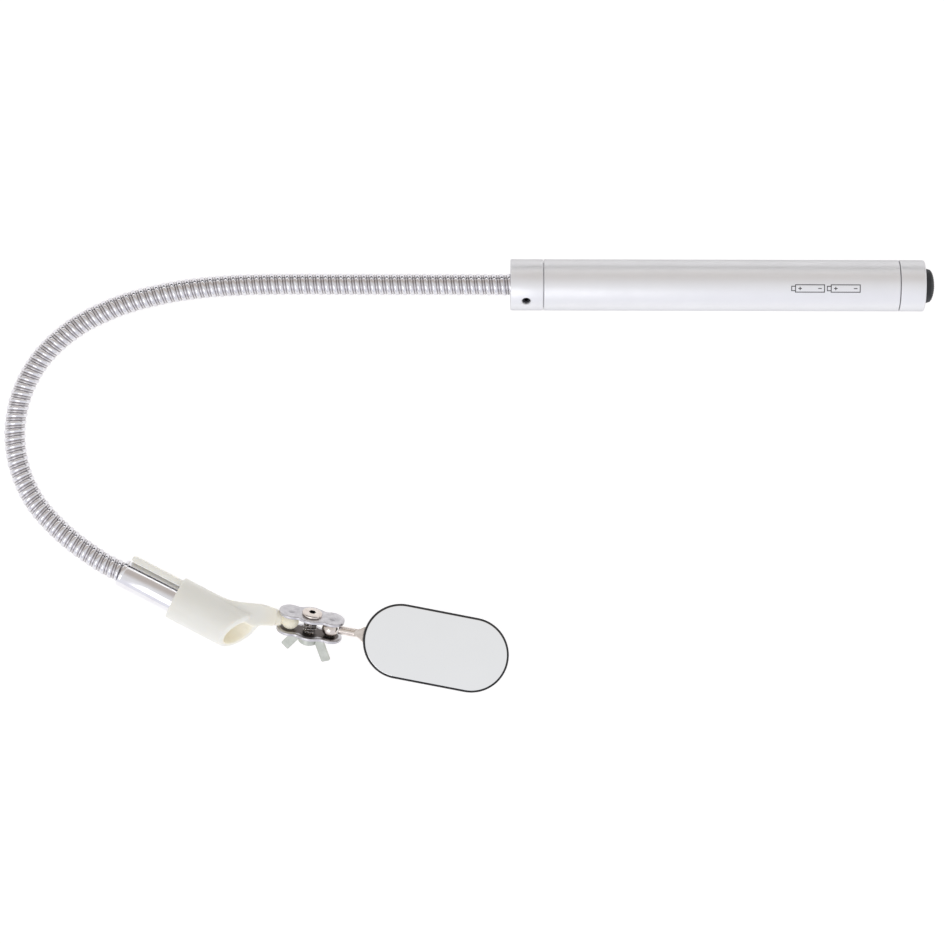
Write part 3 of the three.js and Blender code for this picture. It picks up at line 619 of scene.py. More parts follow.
def makeHoseChrome():  # depth is 0 on the crowns of the turns and 1 in the seams, which get painted shade
    material, tree, shader, where = newMaterial("bright strip-wound chrome", {"Metallic": 1.0})
    tone = useGroup(tree, mottle, where, Scale=300, Low=0.0, High=1.0)
    colour = blendColours(tree, tone, (0.82, 0.82, 0.85), (0.72, 0.71, 0.74))
    depth = attributeNode(tree)
    # painted shade: the seams between the turns are darkened
    colour = blendColours(tree, rangeNode(tree, depth, 0.2, 0.9, 0.0, 1.0), colour, (0.50, 0.48, 0.49))
    tree.links.new(colour, shader.inputs["Base Color"])
    tree.links.new(rangeNode(tree, tone, 0.0, 1.0, 0.05, 0.11), shader.inputs["Roughness"])
    height = useGroup(tree, grain, where, Stretch=(1, 1, 1), Scale=2500)
    addBump(tree, shader, height, 0.08, 0.00004)
    return material


def makeMilkyNylon():  # depth is the warmth: 1 inside the bore and by the ball
    material, tree, shader, where = newMaterial("milky nylon", {
        "Subsurface Weight": 0.6, "Subsurface Radius": (1.0, 0.9, 0.7), "Subsurface Scale": 0.003,
        "Specular IOR Level": 0.35, "Emission Strength": 1.0,
    })
    tone = useGroup(tree, mottle, where, Scale=90, Low=0.0, High=1.0)
    colour = blendColours(tree, tone, (0.65, 0.65, 0.625), (0.63, 0.625, 0.59))
    warm = attributeNode(tree)
    colour = blendColours(tree, rangeNode(tree, warm, 0.0, 1.0, 0.0, 0.85), colour, (0.64, 0.60, 0.49))
    tree.links.new(colour, shader.inputs["Base Color"])
    # painted glow: emission stands in for light let through the wall, warmer where depth is high
    glow = blendColours(tree, warm, (0.175, 0.175, 0.16), (0.25, 0.235, 0.185))
    tree.links.new(glow, shader.inputs["Emission Color"])
    gloss = useGroup(tree, mottle, where, Scale=500, Low=0.38, High=0.5)
    tree.links.new(gloss, shader.inputs["Roughness"])
    height = useGroup(tree, grain, where, Stretch=(1, 1, 1), Scale=700)
    addBump(tree, shader, height, 0.12, 0.0001)
    return material


def makeClearEpoxy():
    material, tree, shader, where = newMaterial("clear lamp epoxy", {
        "Metallic": 0.0, "Transmission Weight": 0.9, "IOR": 1.5,
    })
    tone = useGroup(tree, mottle, where, Scale=400, Low=0.0, High=1.0)
    colour = blendColours(tree, tone, (0.93, 0.95, 0.97), (0.86, 0.89, 0.92))
    tree.links.new(colour, shader.inputs["Base Color"])
    gloss = useGroup(tree, mottle, where, Scale=500, Low=0.04, High=0.09)
    tree.links.new(gloss, shader.inputs["Roughness"])
    return material


hoseChrome = makeHoseChrome()
milkyNylon = makeMilkyNylon()
clearEpoxy = makeClearEpoxy()
print("materials ready")

# ---- camera, floor and light ----

studio = {
    "cameraHeight": 1.2, "field": 0.321, "aim": (0.0008, 0.0013), "roll": 0.15, "filmWidth": 36,
    "floorBelow": 0.06, "floorSize": 4, "floorTone": 0.82, "floorGlow": 0.36,
    "lampPower": 2.0, "lampSize": 0.8, "lampAt": (-0.5, -0.7, 0.9),
}


def makeStudio():
    camera = bpy.data.objects.new("camera", bpy.data.cameras.new("camera"))
    scene.collection.objects.link(camera)
    camera.location = (*studio["aim"], studio["cameraHeight"])
    camera.rotation_euler = (0, 0, math.radians(studio["roll"]))
    camera.data.sensor_width = studio["filmWidth"]
    distance = studio["cameraHeight"] - handlePlace.translation.z
    camera.data.lens = studio["filmWidth"] * distance / studio["field"]
    scene.camera = camera

    shape = bmesh.new()
    bmesh.ops.create_grid(shape, x_segments=1, y_segments=1, size=studio["floorSize"] / 2)
    bmesh.ops.translate(shape, vec=(0, 0, cadLow.z - studio["floorBelow"]), verts=shape.verts)
    floor = workObject(shape, "floor")
    material = bpy.data.materials.new("pale floor")
    material.use_nodes = True
    shader = material.node_tree.nodes["Principled BSDF"]
    tone = studio["floorTone"]
    shader.inputs["Base Color"].default_value = (tone, tone, tone, 1)
    shader.inputs["Roughness"].default_value = 0.9
    shader.inputs["Specular IOR Level"].default_value = 0.0
    shader.inputs["Emission Color"].default_value = (1, 1, 1, 1)
    shader.inputs["Emission Strength"].default_value = studio["floorGlow"]
    floor.data.materials.append(material)

    lamp = bpy.data.objects.new("softbox", bpy.data.lights.new("softbox", "AREA"))
    lamp.data.energy = studio["lampPower"]
    lamp.data.size = studio["lampSize"]
    lamp.location = studio["lampAt"]
    lamp.rotation_euler = (-Vector(studio["lampAt"])).to_track_quat("-Z", "Y").to_euler()
    scene.collection.objects.link(lamp)
    scene.view_settings.view_transform = "Standard"


# the surround: pale overhead, a warmer and darker far side, a dark line low down on it
surround = {
    "overhead": (0.84, 0.84, 0.85), "nearSide": (0.90, 0.90, 0.96), "farSide": (0.56, 0.51, 0.47),
    "farGlow": (1.5, 1.5, 1.5), "horizon": (0.02, 0.02, 0.025), "backdrop": (0.93, 0.93, 0.93, 1),
    "nearFrom": -0.25, "nearTo": -0.55, "farFrom": 0.05, "farTo": 0.45, "edgeFrom": 0.5, "edgeTo": 0.7,
    "glowTop": 0.50, "glowFull": 0.42, "lineTop": 0.30, "lineFull": 0.25,
}


def bothOf(tree, first, second):  # a mask where both masks are full
    node = tree.nodes.new("ShaderNodeMath")
    node.operation = "MULTIPLY"
    tree.links.new(first, node.inputs[0])
    tree.links.new(second, node.inputs[1])
    return node.outputs["Value"]


def makeSurround():
    world = bpy.data.worlds.new("soft studio")
    scene.world = world
    world.use_nodes = True
    tree = world.node_tree
    direction = tree.nodes.new("ShaderNodeTexCoord").outputs["Generated"]
    split = tree.nodes.new("ShaderNodeSeparateXYZ")
    tree.links.new(direction, split.inputs["Vector"])
    depth, height = split.outputs["Y"], split.outputs["Z"]
    near = rangeNode(tree, depth, surround["nearFrom"], surround["nearTo"], 0.0, 1.0)
    far = rangeNode(tree, depth, surround["farFrom"], surround["farTo"], 0.0, 1.0)
    farEdge = rangeNode(tree, depth, surround["edgeFrom"], surround["edgeTo"], 0.0, 1.0)
    glow = rangeNode(tree, height, surround["glowTop"], surround["glowFull"], 0.0, 1.0)
    line = rangeNode(tree, height, surround["lineTop"], surround["lineFull"], 0.0, 1.0)
    colour = blendColours(tree, near, surround["overhead"], surround["nearSide"])
    colour = blendColours(tree, far, colour, surround["farSide"])
    colour = blendColours(tree, bothOf(tree, glow, farEdge), colour, surround["farGlow"])
    colour = blendColours(tree, bothOf(tree, line, farEdge), colour, surround["horizon"])
    background = tree.nodes["Background"]
    tree.links.new(colour, background.inputs["Color"])
    background.inputs["Strength"].default_value = 1.0
    plain = tree.nodes.new("ShaderNodeBackground")
    plain.inputs["Color"].default_value = surround["backdrop"]
    seen = tree.nodes.new("ShaderNodeLightPath")
    mix = tree.nodes.new("ShaderNodeMixShader")
    tree.links.new(seen.outputs["Is Camera Ray"], mix.inputs["Fac"])
    tree.links.new(background.outputs["Background"], mix.inputs[1])
    tree.links.new(plain.outputs["Background"], mix.inputs[2])
    tree.links.new(mix.outputs["Shader"], tree.nodes["World Output"].inputs["Surface"])


makeStudio()
makeSurround()
print("studio ready")

# ---- handle ----

tube = {"bore": 15.1, "rim": 0.2}


def makeTube():
    start = tubeLow.x - collarLow.x
    end = tubeHigh.x - collarLow.x
    outer = (tubeHigh.y - tubeLow.y) / 2
    shape = ringOf(start, end, tube["bore"] / 2, outer, 160)
    softenEdges(shape, tube["rim"])
    makePiece("handle_tube_shell", shape, handlePlace, satinAluminium, "handle",
              ["handle_tube"])


marks = {  # printed battery signs, in millimetres from the tail cap's rear face
    "starts": (-44.5, -32.45), "length": 10.1, "height": 2.8, "middle": -1.45, "line": 0.3, "raise": 0.02,
    "nub": 1.3, "nubHeight": 1.8, "signSize": 1.2, "signIn": 1.7,
}


def strokeShape(low, high, radius, lift):  # a thin printed mark wrapped on the round tube
    columns = max(2, round((high[1] - low[1]) / 0.2))
    shape = bmesh.new()
    bmesh.ops.create_grid(shape, x_segments=1, y_segments=columns, size=0.5)
    size = (high[0] - low[0], high[1] - low[1], 1)
    middle = ((high[0] + low[0]) / 2, (high[1] + low[1]) / 2, 0)
    moved(shape, Matrix.Translation(middle) @ Matrix.Diagonal((*size, 1)))
    for corner in shape.verts:
        angle = corner.co.y / radius
        corner.co.y = radius * math.sin(angle)
        corner.co.z = radius * math.cos(angle)
    walls = bmesh.ops.extrude_face_region(shape, geom=shape.faces[:], use_keep_orig=True)["geom"]
    for corner in (item for item in walls if isinstance(item, bmesh.types.BMVert)):
        grow = (radius + lift) / radius
        corner.co.y *= grow
        corner.co.z *= grow
    bmesh.ops.recalc_face_normals(shape, faces=shape.faces)
    return shape


def makeMarks():
    rear = nodeBox("tail_cap")[1].x - collarLow.x
    radius = (tubeHigh.y - tubeLow.y) / 2 - marks["raise"] / 2
    line = marks["line"]
    half = marks["height"] / 2
    middle = marks["middle"]
    strokes = []
    for start in marks["starts"]:
        left = rear + start
        right = left + marks["length"]
        strokes += [
            ((left, middle - half), (right, middle - half + line)),
            ((left, middle + half - line), (right, middle + half)),
            ((left, middle - half + line), (left + line, middle + half - line)),
            ((right - line, middle - half + line), (right, middle + half - line)),
        ]
        nub, nubLow = left - marks["nub"], middle - marks["nubHeight"] / 2
        nubHigh = nubLow + marks["nubHeight"]
        strokes += [
            ((nub, nubLow), (left, nubLow + line)), ((nub, nubHigh - line), (left, nubHigh)),
            ((nub, nubLow + line), (nub + line, nubHigh - line)),
        ]
        plus = left + marks["signIn"]
        minus = right - marks["signIn"]
        reach = marks["signSize"] / 2
        strokes += [
            ((plus - reach, middle - line / 2), (plus + reach, middle + line / 2)),
            ((plus - line / 2, middle + line / 2), (plus + line / 2, middle + reach)),
            ((plus - line / 2, middle - reach), (plus + line / 2, middle - line / 2)),
            ((minus - reach, middle - line / 2), (minus + reach, middle + line / 2)),
        ]
    printed = [strokeShape(low, high, radius, marks["raise"]) for low, high in strokes]
    shape = joinShapes(bmesh.new(), *printed)
    makePiece("battery_signs", shape, handlePlace, printInk, "handle")


collar = {
    "length": 11.0, "edge": 0.35, "spigot": 7.4, "spigotLength": 7.0, "hoseHole": 3.95, "hoseStop": 9.0,
    "cableHole": 2.0, "screwAt": 5.3, "screwTurn": 44.0, "screwHole": 1.42,
    "sinkDepth": 0.45, "sinkRise": 0.5, "sinkFlare": 0.75,
}


def screwTool(tool):  # turns a tool along Z to the set screw's place
    turn = Matrix.Rotation(math.radians(collar["screwTurn"]), 4, "X")
    return moved(tool, Matrix.Translation((collar["screwAt"], 0, 0)) @ turn)


def makeCollar():
    outer = (tubeHigh.y - tubeLow.y) / 2
    edge = collar["edge"]
    length = collar["length"]
    end = length + collar["spigotLength"]
    shape = turned([
        (0, collar["hoseHole"] + 0.2), (0, outer - edge), (edge * 0.3, outer - edge * 0.3), (edge, outer),
        (length - 0.15, outer), (length, outer - 0.15), (length, collar["spigot"]), (end, collar["spigot"]),
        (end, collar["cableHole"]), (collar["hoseStop"], collar["cableHole"]),
        (collar["hoseStop"], collar["hoseHole"]), (0.2, collar["hoseHole"]),
    ], 160, closed=True)
    drill = screwTool(alongZ(rodOf(1.9, outer + 1, collar["screwHole"], 48)))
    sinkLow, sinkHigh = outer - collar["sinkDepth"], outer + collar["sinkRise"]
    sink = screwTool(alongZ(turned([
        (sinkLow, 0), (sinkLow, collar["screwHole"] - 0.05),
        (sinkHigh, collar["screwHole"] + collar["sinkFlare"]), (sinkHigh, 0),
    ], 48)))
    shape = combine(shape, [drill, sink])
    makePiece("front_collar_turned", shape, handlePlace, turnedAluminium, "handle",
              ["front_collar"], sharp=28)


setScrew = {"radius": 1.38, "top": 7.6, "tip": 4.15, "socket": 0.78, "socketDepth": 1.4, "edge": 0.12}


def makeSetScrew():
    shank = alongZ(rodOf(setScrew["tip"], setScrew["top"], setScrew["radius"], 48))
    softenEdges(shank, setScrew["edge"], 2)
    top = setScrew["top"]
    socket = alongZ(rodOf(top - setScrew["socketDepth"], top + 1, setScrew["socket"], 6))
    shape = screwTool(combine(shank, [socket]))
    makePiece("set_screw", shape, handlePlace, darkSteelAndSocketShade, "handle", ["neck_set_screw"])


cap = {
    "edge": 0.6, "spigotLength": 7.0, "bore": 13.2, "rearWall": 1.5, "hole": 6.05,
    "threadPitch": 1.25, "threadCrest": 7.4, "threadRoot": 6.98, "threadFrom": 1.0, "threadTo": 6.3,
}


def makeCap():
    low, high = nodeBox("tail_cap")
    rear = high.x - collarLow.x
    spigotStart = low.x - collarLow.x
    shoulder = spigotStart + cap["spigotLength"]
    outer = (high.y - low.y) / 2
    edge = cap["edge"]
    crest = cap["threadCrest"]
    root = cap["threadRoot"]
    back = [(rear - edge + edge * math.sin(turn), outer - edge + edge * math.cos(turn))
            for turn in (0, math.pi / 8, math.pi / 4, 3 * math.pi / 8, math.pi / 2)]
    shape = turned([
        (spigotStart, cap["bore"] / 2), (spigotStart, root), (spigotStart + 0.3, root),
        (shoulder - 0.5, root), (shoulder, crest), (shoulder, outer - 0.15), (shoulder + 0.15, outer),
        *back, (rear, cap["hole"] + 0.2), (rear - 0.2, cap["hole"]), (rear - cap["rearWall"], cap["hole"]),
        (rear - cap["rearWall"], cap["bore"] / 2),
    ], 160, closed=True)
    profile = [
        (0, root - 0.2), (0.2, root - 0.02), (0.45, crest),
        (0.6, crest), (0.85, root - 0.02), (1, root - 0.2),
    ]
    thread = screwSurface(
        profile, cap["threadPitch"], spigotStart + cap["threadFrom"], spigotStart + cap["threadTo"], 64,
        cap["bore"] / 2 + 0.05,
    )
    shape = combine(shape, [thread], "UNION")
    makePiece("tail_cap_turned", shape, handlePlace, turnedAluminium, "tail_cap",
              ["tail_cap"], sharp=28)


button = {
    "radius": 5.9, "proud": 3.5, "rimTop": 1.0, "rimRound": 0.45, "flange": 6.4, "flangeThick": 1.0,
    "seat": 1.8, "wall": 1.0, "roof": 1.6, "crownSteps": 14, "crownSpread": 0.93,
    "padRadius": 5.0, "padThick": 0.4, "padDrop": 0.06, "padSink": 0.12,
    "pyramid": 0.62, "pyramidHeight": 0.24,
}


def domeHeight(distance):  # the button's crown above its rim
    if distance >= button["radius"]:
        return 0
    rise = button["proud"] - button["rimTop"]
    return rise * math.sqrt(max(0.0, 1 - (distance / button["radius"]) ** 2 * button["crownSpread"]))


def makeButton():
    rear = nodeBox("tail_cap")[1].x - collarLow.x
    outer = button["radius"]
    back = rear - button["seat"]
    roof = rear + button["proud"] - button["roof"]
    front = back - button["flangeThick"]
    inner = outer - button["wall"]
    rimTop = rear + button["rimTop"]
    crown = []
    for i in range(button["crownSteps"] + 1):
        distance = (outer - button["rimRound"]) * (1 - i / button["crownSteps"])
        crown.append((rimTop - button["padSink"] + domeHeight(distance), distance))
    rim = [(rear + button["rimTop"] * 0.6, outer), (rimTop, outer - button["rimRound"] * 0.3)]
    shape = turned([
        (roof, 0), (roof, inner * 0.6), (rear, inner), (front, inner), (front, button["flange"]),
        (back, button["flange"]), (back, outer), *rim, *crown,
    ], 96)
    # a pad of small pyramids on the crown
    pad = bmesh.new()
    count = 2 * math.ceil(button["padRadius"] / button["pyramid"])
    bmesh.ops.create_grid(pad, x_segments=count, y_segments=count, size=count * button["pyramid"] / 2)
    outside = [face for face in pad.faces if face.calc_center_median().length > button["padRadius"]]
    bmesh.ops.delete(pad, geom=outside, context="FACES")
    top = pad.faces[:]
    raised = bmesh.ops.extrude_face_region(pad, geom=top, use_keep_orig=True)["geom"]
    upper = [item for item in raised if isinstance(item, bmesh.types.BMFace)]
    lifted = list({corner for face in upper for corner in face.verts})
    bmesh.ops.translate(pad, vec=(0, 0, button["padThick"]), verts=lifted)
    bmesh.ops.recalc_face_normals(pad, faces=pad.faces)
    upper = [face for face in pad.faces if face.normal.z > 0.9]
    bmesh.ops.poke(pad, faces=upper, offset=button["pyramidHeight"], center_mode="MEAN")
    padLow = button["rimTop"] - button["padThick"] - button["padDrop"] - button["padSink"]
    for corner in pad.verts:
        distance = math.hypot(corner.co.x, corner.co.y)
        corner.co.z += domeHeight(distance) + padLow
    moved(pad, Matrix.Translation((rear, 0, 0)) @ Matrix.Rotation(math.pi / 2, 4, "Y"))
    joinShapes(shape, pad)
    piece = makePiece("rubber_button", shape, handlePlace, blackRubber, None,
                      ["button_boot"], sharp=30)
    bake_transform(piece)


makeTube()
makeMarks()
makeCollar()
makeSetScrew()
makeCap()
makeButton()
print("handle made")

# ---- neck ----

hose = {
    "pitch": 2.6, "radius": 3.8, "bandShare": 0.66, "bandSteps": 12, "bandRound": 0.55,
    "wireRise": 0.30, "wireSteps": 7, "valley": 3.22, "cableSides": 16, "cableCuts": 7,
    "steps": 40, "bore": 2.6, "inCollar": 8.6, "inHead": 5.0, "cable": 1.0, "bendReach": 7.6,
}


def neckJoints():  # the sixteen hinges in order along the neck
    chain = []
    body = "handle"
    while body != "head":
        leaving = [joint for joint in frame["joints"] if joint["parent"] == body]
        joint = next(j for j in leaving if j["child"].startswith("neck_") or j["child"] == "head")
        chain.append(joint)
        body = joint["child"]
    return chain


neckChain = neckJoints()
hoseStart = handlePlace @ Vector((hose["inCollar"], 0, 0))
hoseEnd = headPlace @ Vector((hose["inHead"], 0, 0))
routePoints = [hoseStart, handlePlace.translation] + [Vector(j["pos_m"]) for j in neckChain]
routePoints += [headPlace.translation, hoseEnd]
routePoints = [point / mm for point in routePoints]
stations = [0.0]
for before, after in zip(routePoints, routePoints[1:]):
    stations.append(stations[-1] + (after - before).length)


def routeTangents():
    tangents = []
    last = len(routePoints) - 1
    for i in range(last + 1):
        tangents.append((routePoints[min(i + 1, last)] - routePoints[max(i - 1, 0)]).normalized())
    tangents[0] = tangents[1] = (routePoints[1] - routePoints[0]).normalized()
    tangents[last] = tangents[last - 1] = (routePoints[last] - routePoints[last - 1]).normalized()
    return tangents


tangentsAt = routeTangents()


def alongRoute(distance):  # the point and direction of the neck's centre line
    i = 0
    while i < len(stations) - 2 and distance > stations[i + 1]:
        i += 1
    length = stations[i + 1] - stations[i]
    t = (distance - stations[i]) / length
    p, q = routePoints[i], routePoints[i + 1]
    a, b = tangentsAt[i] * length, tangentsAt[i + 1] * length
    if t < 0 or t > 1:
        end, way = (p, tangentsAt[i]) if t < 0 else (q, tangentsAt[i + 1])
        return end + way * (distance - (stations[i] if t < 0 else stations[i + 1])), way
    point = p * (2 * t**3 - 3 * t**2 + 1) + a * (t**3 - 2 * t**2 + t)
    point += q * (3 * t**2 - 2 * t**3) + b * (t**3 - t**2)
    slope = p * (6 * t**2 - 6 * t) + a * (3 * t**2 - 4 * t + 1)
    slope += q * (6 * t - 6 * t**2) + b * (3 * t**2 - 2 * t)
    return point, slope.normalized()


def onRoute(shape):
    for corner in shape.verts:
        point, way = alongRoute(corner.co.x)
        across = up.cross(way)
        corner.co = point + across * corner.co.y + up * corner.co.z
    return shape


def hoseProfile():  # one turn: a wide rounded band, then a narrow round wire lower down
    share = hose["bandShare"]
    valley = hose["valley"]
    profile = []
    for i in range(hose["bandSteps"] + 1):
        t = i / hose["bandSteps"]
        crown = math.sin(math.pi * t) ** hose["bandRound"]
        profile.append((share * t, valley + (hose["radius"] - valley) * crown))
    for i in range(1, hose["wireSteps"] + 1):
        t = i / hose["wireSteps"]
        profile.append((share + (1 - share) * t, valley + hose["wireRise"] * math.sin(math.pi * t)))
    return profile


def hoseDepth(place):
    radius = math.hypot(place.y, place.z)
    return min(1.0, max(0.0, (hose["radius"] - radius) / (hose["radius"] - hose["valley"])))


def makeNeck():
    middles = [(a + b) / 2 for a, b in zip(stations[2:-2], stations[3:-2])]
    cuts = [stations[0], *middles, stations[-1]]
    for i, joint in enumerate(neckChain):
        start, end = cuts[i], cuts[i + 1]
        hinge = stations[i + 2]
        nodes = [f"hose_section_{i + 1:02d}"]
        if i + 1 == len(neckChain):
            nodes.append(f"hose_section_{i + 2:02d}")
        outside = screwSurface(hoseProfile(), hose["pitch"], start, end, hose["steps"], hose["bore"])
        layer = outside.verts.layers.float.new("depth")
        for corner in outside.verts:
            corner[layer] = hoseDepth(corner.co)
        piece = makePiece(f"hose_length_{i + 1:02d}", moved(onRoute(outside), Matrix.Scale(mm, 4)), None,
                          hoseChrome, None, nodes, sharp=50)
        reach = hose["bendReach"]
        bendStart = alongRoute(hinge - reach)[0] * mm
        bendEnd = alongRoute(hinge + reach)[0] * mm
        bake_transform(piece)
        inside = turned(
            [(start, 0), (start, hose["cable"]), (end, hose["cable"]), (end, 0)], hose["cableSides"],
        )
        lengthwise = [e for e in inside.edges if abs(e.verts[0].co.x - e.verts[1].co.x) > 1]
        bmesh.ops.subdivide_edges(inside, edges=lengthwise, cuts=hose["cableCuts"])
        cable = makePiece(f"cable_length_{i + 1:02d}", moved(onRoute(inside), Matrix.Scale(mm, 4)), None,
                          cableJacket, None, ["led_cable"])
        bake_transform(cable)


makeNeck()
print("neck made")

# ---- lit head ----

housing = {
    "length": 34.0, "radius": 4.8, "bore": 3.95, "rimRound": 0.3, "mouthBevel": 0.35, "lipAt": 1.1,
    "lipDepth": 0.09, "lipWidth": 0.35,
}


def makeHousing():
    r, rim, length = housing["radius"], housing["rimRound"], housing["length"]
    lip, depth = housing["lipAt"], housing["lipDepth"]
    bore, bevel = housing["bore"], housing["mouthBevel"]
    shape = turned([
        (0, bore + 0.15), (0, r - rim), (rim * 0.3, r - rim * 0.3), (rim, r),
        (lip, r), (lip + housing["lipWidth"] / 2, r - depth), (lip + housing["lipWidth"], r),
        (length - rim, r), (length - rim * 0.3, r - rim * 0.3), (length, r - rim),
        (length, bore + bevel), (length - bevel, bore), (0.15, bore),
    ], 144, closed=True)
    makePiece("lit_head_tube", shape, headPlace, headChrome, "head", ["led_housing"],
              sharp=30)


lamp = {
    "rear": 22.6, "radius": 2.5, "flange": 2.9, "flangeHeight": 1.0, "length": 9.2,
    "edge": 0.1, "domeSteps": 12,
}


def makeLamp():
    r, rear = lamp["radius"], lamp["rear"]
    tip = rear + lamp["length"]
    steps = lamp["domeSteps"]
    dome = [(tip - r + r * math.cos(turn), r * math.sin(turn))
            for turn in (math.pi / 2 * (1 - i / steps) for i in range(steps + 1))]
    flange, edge = lamp["flange"], lamp["edge"]
    flangeTop = rear + lamp["flangeHeight"]
    shape = turned([
        (rear, 0), (rear, flange - edge), (rear + edge, flange), (flangeTop - edge, flange),
        (flangeTop, flange - edge), (flangeTop, r), *dome,
    ], 64)
    makePiece("lamp_lens", shape, headPlace, clearEpoxy, "head", ["led_lamp"], sharp=40)


holder = {"start": 23.9, "length": 7.0, "inner": 2.65, "outer": 3.8, "edge": 0.25}


def makeHolder():
    end = holder["start"] + holder["length"]
    shape = ringOf(holder["start"], end, holder["inner"], holder["outer"], 72)
    softenEdges(shape, holder["edge"])
    makePiece("lamp_plug", shape, headPlace, whitePlastic, "head", ["led_holder"])


clip = {
    "bore": 4.95, "sleeveRadius": 7.5, "sleeveOffset": 0.8, "sleeveStart": 20.2, "blankEnd": 62,
    "mouthAt": 44.8, "mouthRise": 0.4, "mouthDepth": 0.49,
    "tongueStart": 1.3, "tongueInner": 5.1, "tongueThick": 1.95, "tongueWidth": 6.2,
    "armWidth": 6.0, "armRoot": 4.4, "armEnd": 4.7, "armNeck": 2.3, "ballFlat": 2.4, "gap": 0.3,
    "grain": 0.26, "smoothing": 14, "tongueRound": 0.66, "warmWall": 0.9, "warmBore": 0.8, "warmReach": 11,
}


def toHead(shape):  # from the arm's own place to the head's
    return moved(shape, headPlace.inverted() @ armPlace)


def makeSleeve():
    start, end, radius = clip["sleeveStart"], clip["blankEnd"], clip["sleeveRadius"]
    shape = turned([(start, 0), (start, radius), (end, radius), (end, 0)], 96)
    moved(shape, Matrix.Translation((0, clip["sleeveOffset"], 0)))
    facing = Vector((1, -clip["mouthRise"], clip["mouthDepth"])).normalized()
    bmesh.ops.bisect_plane(
        shape, geom=shape.verts[:] + shape.edges[:] + shape.faces[:], dist=1e-5,
        plane_co=(clip["mouthAt"], 0, 0), plane_no=facing, clear_outer=True,
    )
    rim = [edge for edge in shape.edges if edge.is_boundary]
    bmesh.ops.holes_fill(shape, edges=rim, sides=0)
    bmesh.ops.recalc_face_normals(shape, faces=shape.faces)
    return shape


def makeArmBar():  # the arm seen from above, from the sleeve to its broad end behind the ball
    toArm = armPlace.inverted() @ headPlace

    def onSleeve(x, y):  # a point of the lit head's place, in the arm's
        return (toArm @ Vector((x, y, 0))).xy

    inside = clip["armRoot"]
    top = clip["sleeveOffset"] + clip["sleeveRadius"]
    end = -clip["armEnd"]
    half = clip["armWidth"] / 2
    shape = bmesh.new()
    corner = shape.verts.new((*onSleeve(30, inside), 0))
    outline = [
        onSleeve(30, top - 0.6), onSleeve(34, top - 0.15), onSleeve(37.5, top + 0.35),
        onSleeve(41, top + 1.5), onSleeve(44.5, top + 2.9), (end - 5, half + 0.55),
        (end - 0.6, half - 0.05), (end, half - 0.7), (end, -half + 0.7), (end - 0.6, -half + 0.1),
        (end - 4.5, -half - 0.5), (end - 7.4, -half - 1.9), onSleeve(44.5, inside - 1), onSleeve(38, inside),
    ]
    for point in outline:
        corner = lineTo(shape, corner, point)
    lineBack(shape, corner)
    slabFrom(shape, -half, half)
    return toHead(shape)


def makeTongue():
    width = clip["tongueWidth"]
    start, low = clip["tongueStart"], clip["tongueInner"]
    high = low + clip["tongueThick"]
    shape = blockOf((start, low, -width / 2), (clip["sleeveStart"] + 2, high, width / 2))

    def atTip(edge):
        return all(corner.co.x < start + 0.1 for corner in edge.verts)

    softenEdges(shape, clip["tongueRound"], 4, where=atTip)
    return shape


def makeClip():
    arm = makeArmBar()
    tip = -clip["ballFlat"] - clip["gap"]
    broad, narrow = clip["armWidth"] / 2, clip["armNeck"]
    neck = toHead(turned([
        (tip - 7, 0), (tip - 7, broad - 0.05), (tip - 2.4, broad - 0.1), (tip - 0.9, narrow + 0.25),
        (tip, narrow), (tip, 0),
    ], 48))
    shape = combine(makeSleeve(), [arm, makeTongue(), neck], "UNION")
    bore = rodOf(clip["sleeveStart"] - 1, clip["blankEnd"] + 1, clip["bore"], 96)
    shape = combine(shape, [bore])
    shape = moulded(shape, clip["grain"], clip["smoothing"])

    ballPlace = armPlace.translation

    def warmth(place):  # inside the bore and close to the ball
        beyond = math.hypot(place.y, place.z) - clip["bore"]
        inside = max(0.0, min(1.0, 1 - beyond / clip["warmWall"])) if place.x > clip["sleeveStart"] else 0
        near = (headPlace @ place - ballPlace).length / mm
        return max(inside * clip["warmBore"], 1 - near / clip["warmReach"], 0.0)

    makePiece("nylon_clip", shape, headPlace, milkyNylon, "clip", ["mirror_clip"], sharp=70,
              measure=warmth)


def flatBall(radius, flat, side, steps=64):
    shape = ballOf(radius, steps=steps)
    moved(shape, Matrix.Rotation(math.pi / 2, 4, "Y"))
    bmesh.ops.bisect_plane(
        shape, geom=shape.verts[:] + shape.edges[:] + shape.faces[:], dist=1e-5,
        plane_co=(side * flat, 0, 0), plane_no=(side, 0, 0), clear_outer=True,
    )
    bmesh.ops.holes_fill(shape, edges=[edge for edge in shape.edges if edge.is_boundary], sides=0)
    bmesh.ops.recalc_face_normals(shape, faces=shape.faces)
    return softenEdges(shape, 0.12, 2)


ball = {"radius": 3.0, "flat": 2.4, "gap": 0.3, "stub": 1.75}


def makeClipBall():
    shape = flatBall(ball["radius"], ball["flat"], -1)
    stub = rodOf(-ball["flat"] - ball["gap"] + 0.04, -ball["flat"] + 0.4, ball["stub"], 48)
    shape = combine(shape, [stub], "UNION")
    makePiece("nylon_ball", shape, armPlace, milkyNylon, "clip_ball", ["clip_ball"],
              measure=lambda place: 0.9)


makeHousing()
makeLamp()
makeHolder()
makeClip()
makeClipBall()
print("head and clip made")

# ---- double ball clamp ----

plate = {
    "spacing": 14.0, "inner": 2.75, "thick": 1.1, "lobe": 4.3, "bulge": 5.3, "fillet": 3.0, "socket": 3.2,
    "shell": 1.0, "hole": 1.65, "grain": 0.13, "smoothing": 12, "paintedShade": 0.35, "unshadedRim": 1.0,
    "waistSteps": 12, "roundSteps": 48,
}


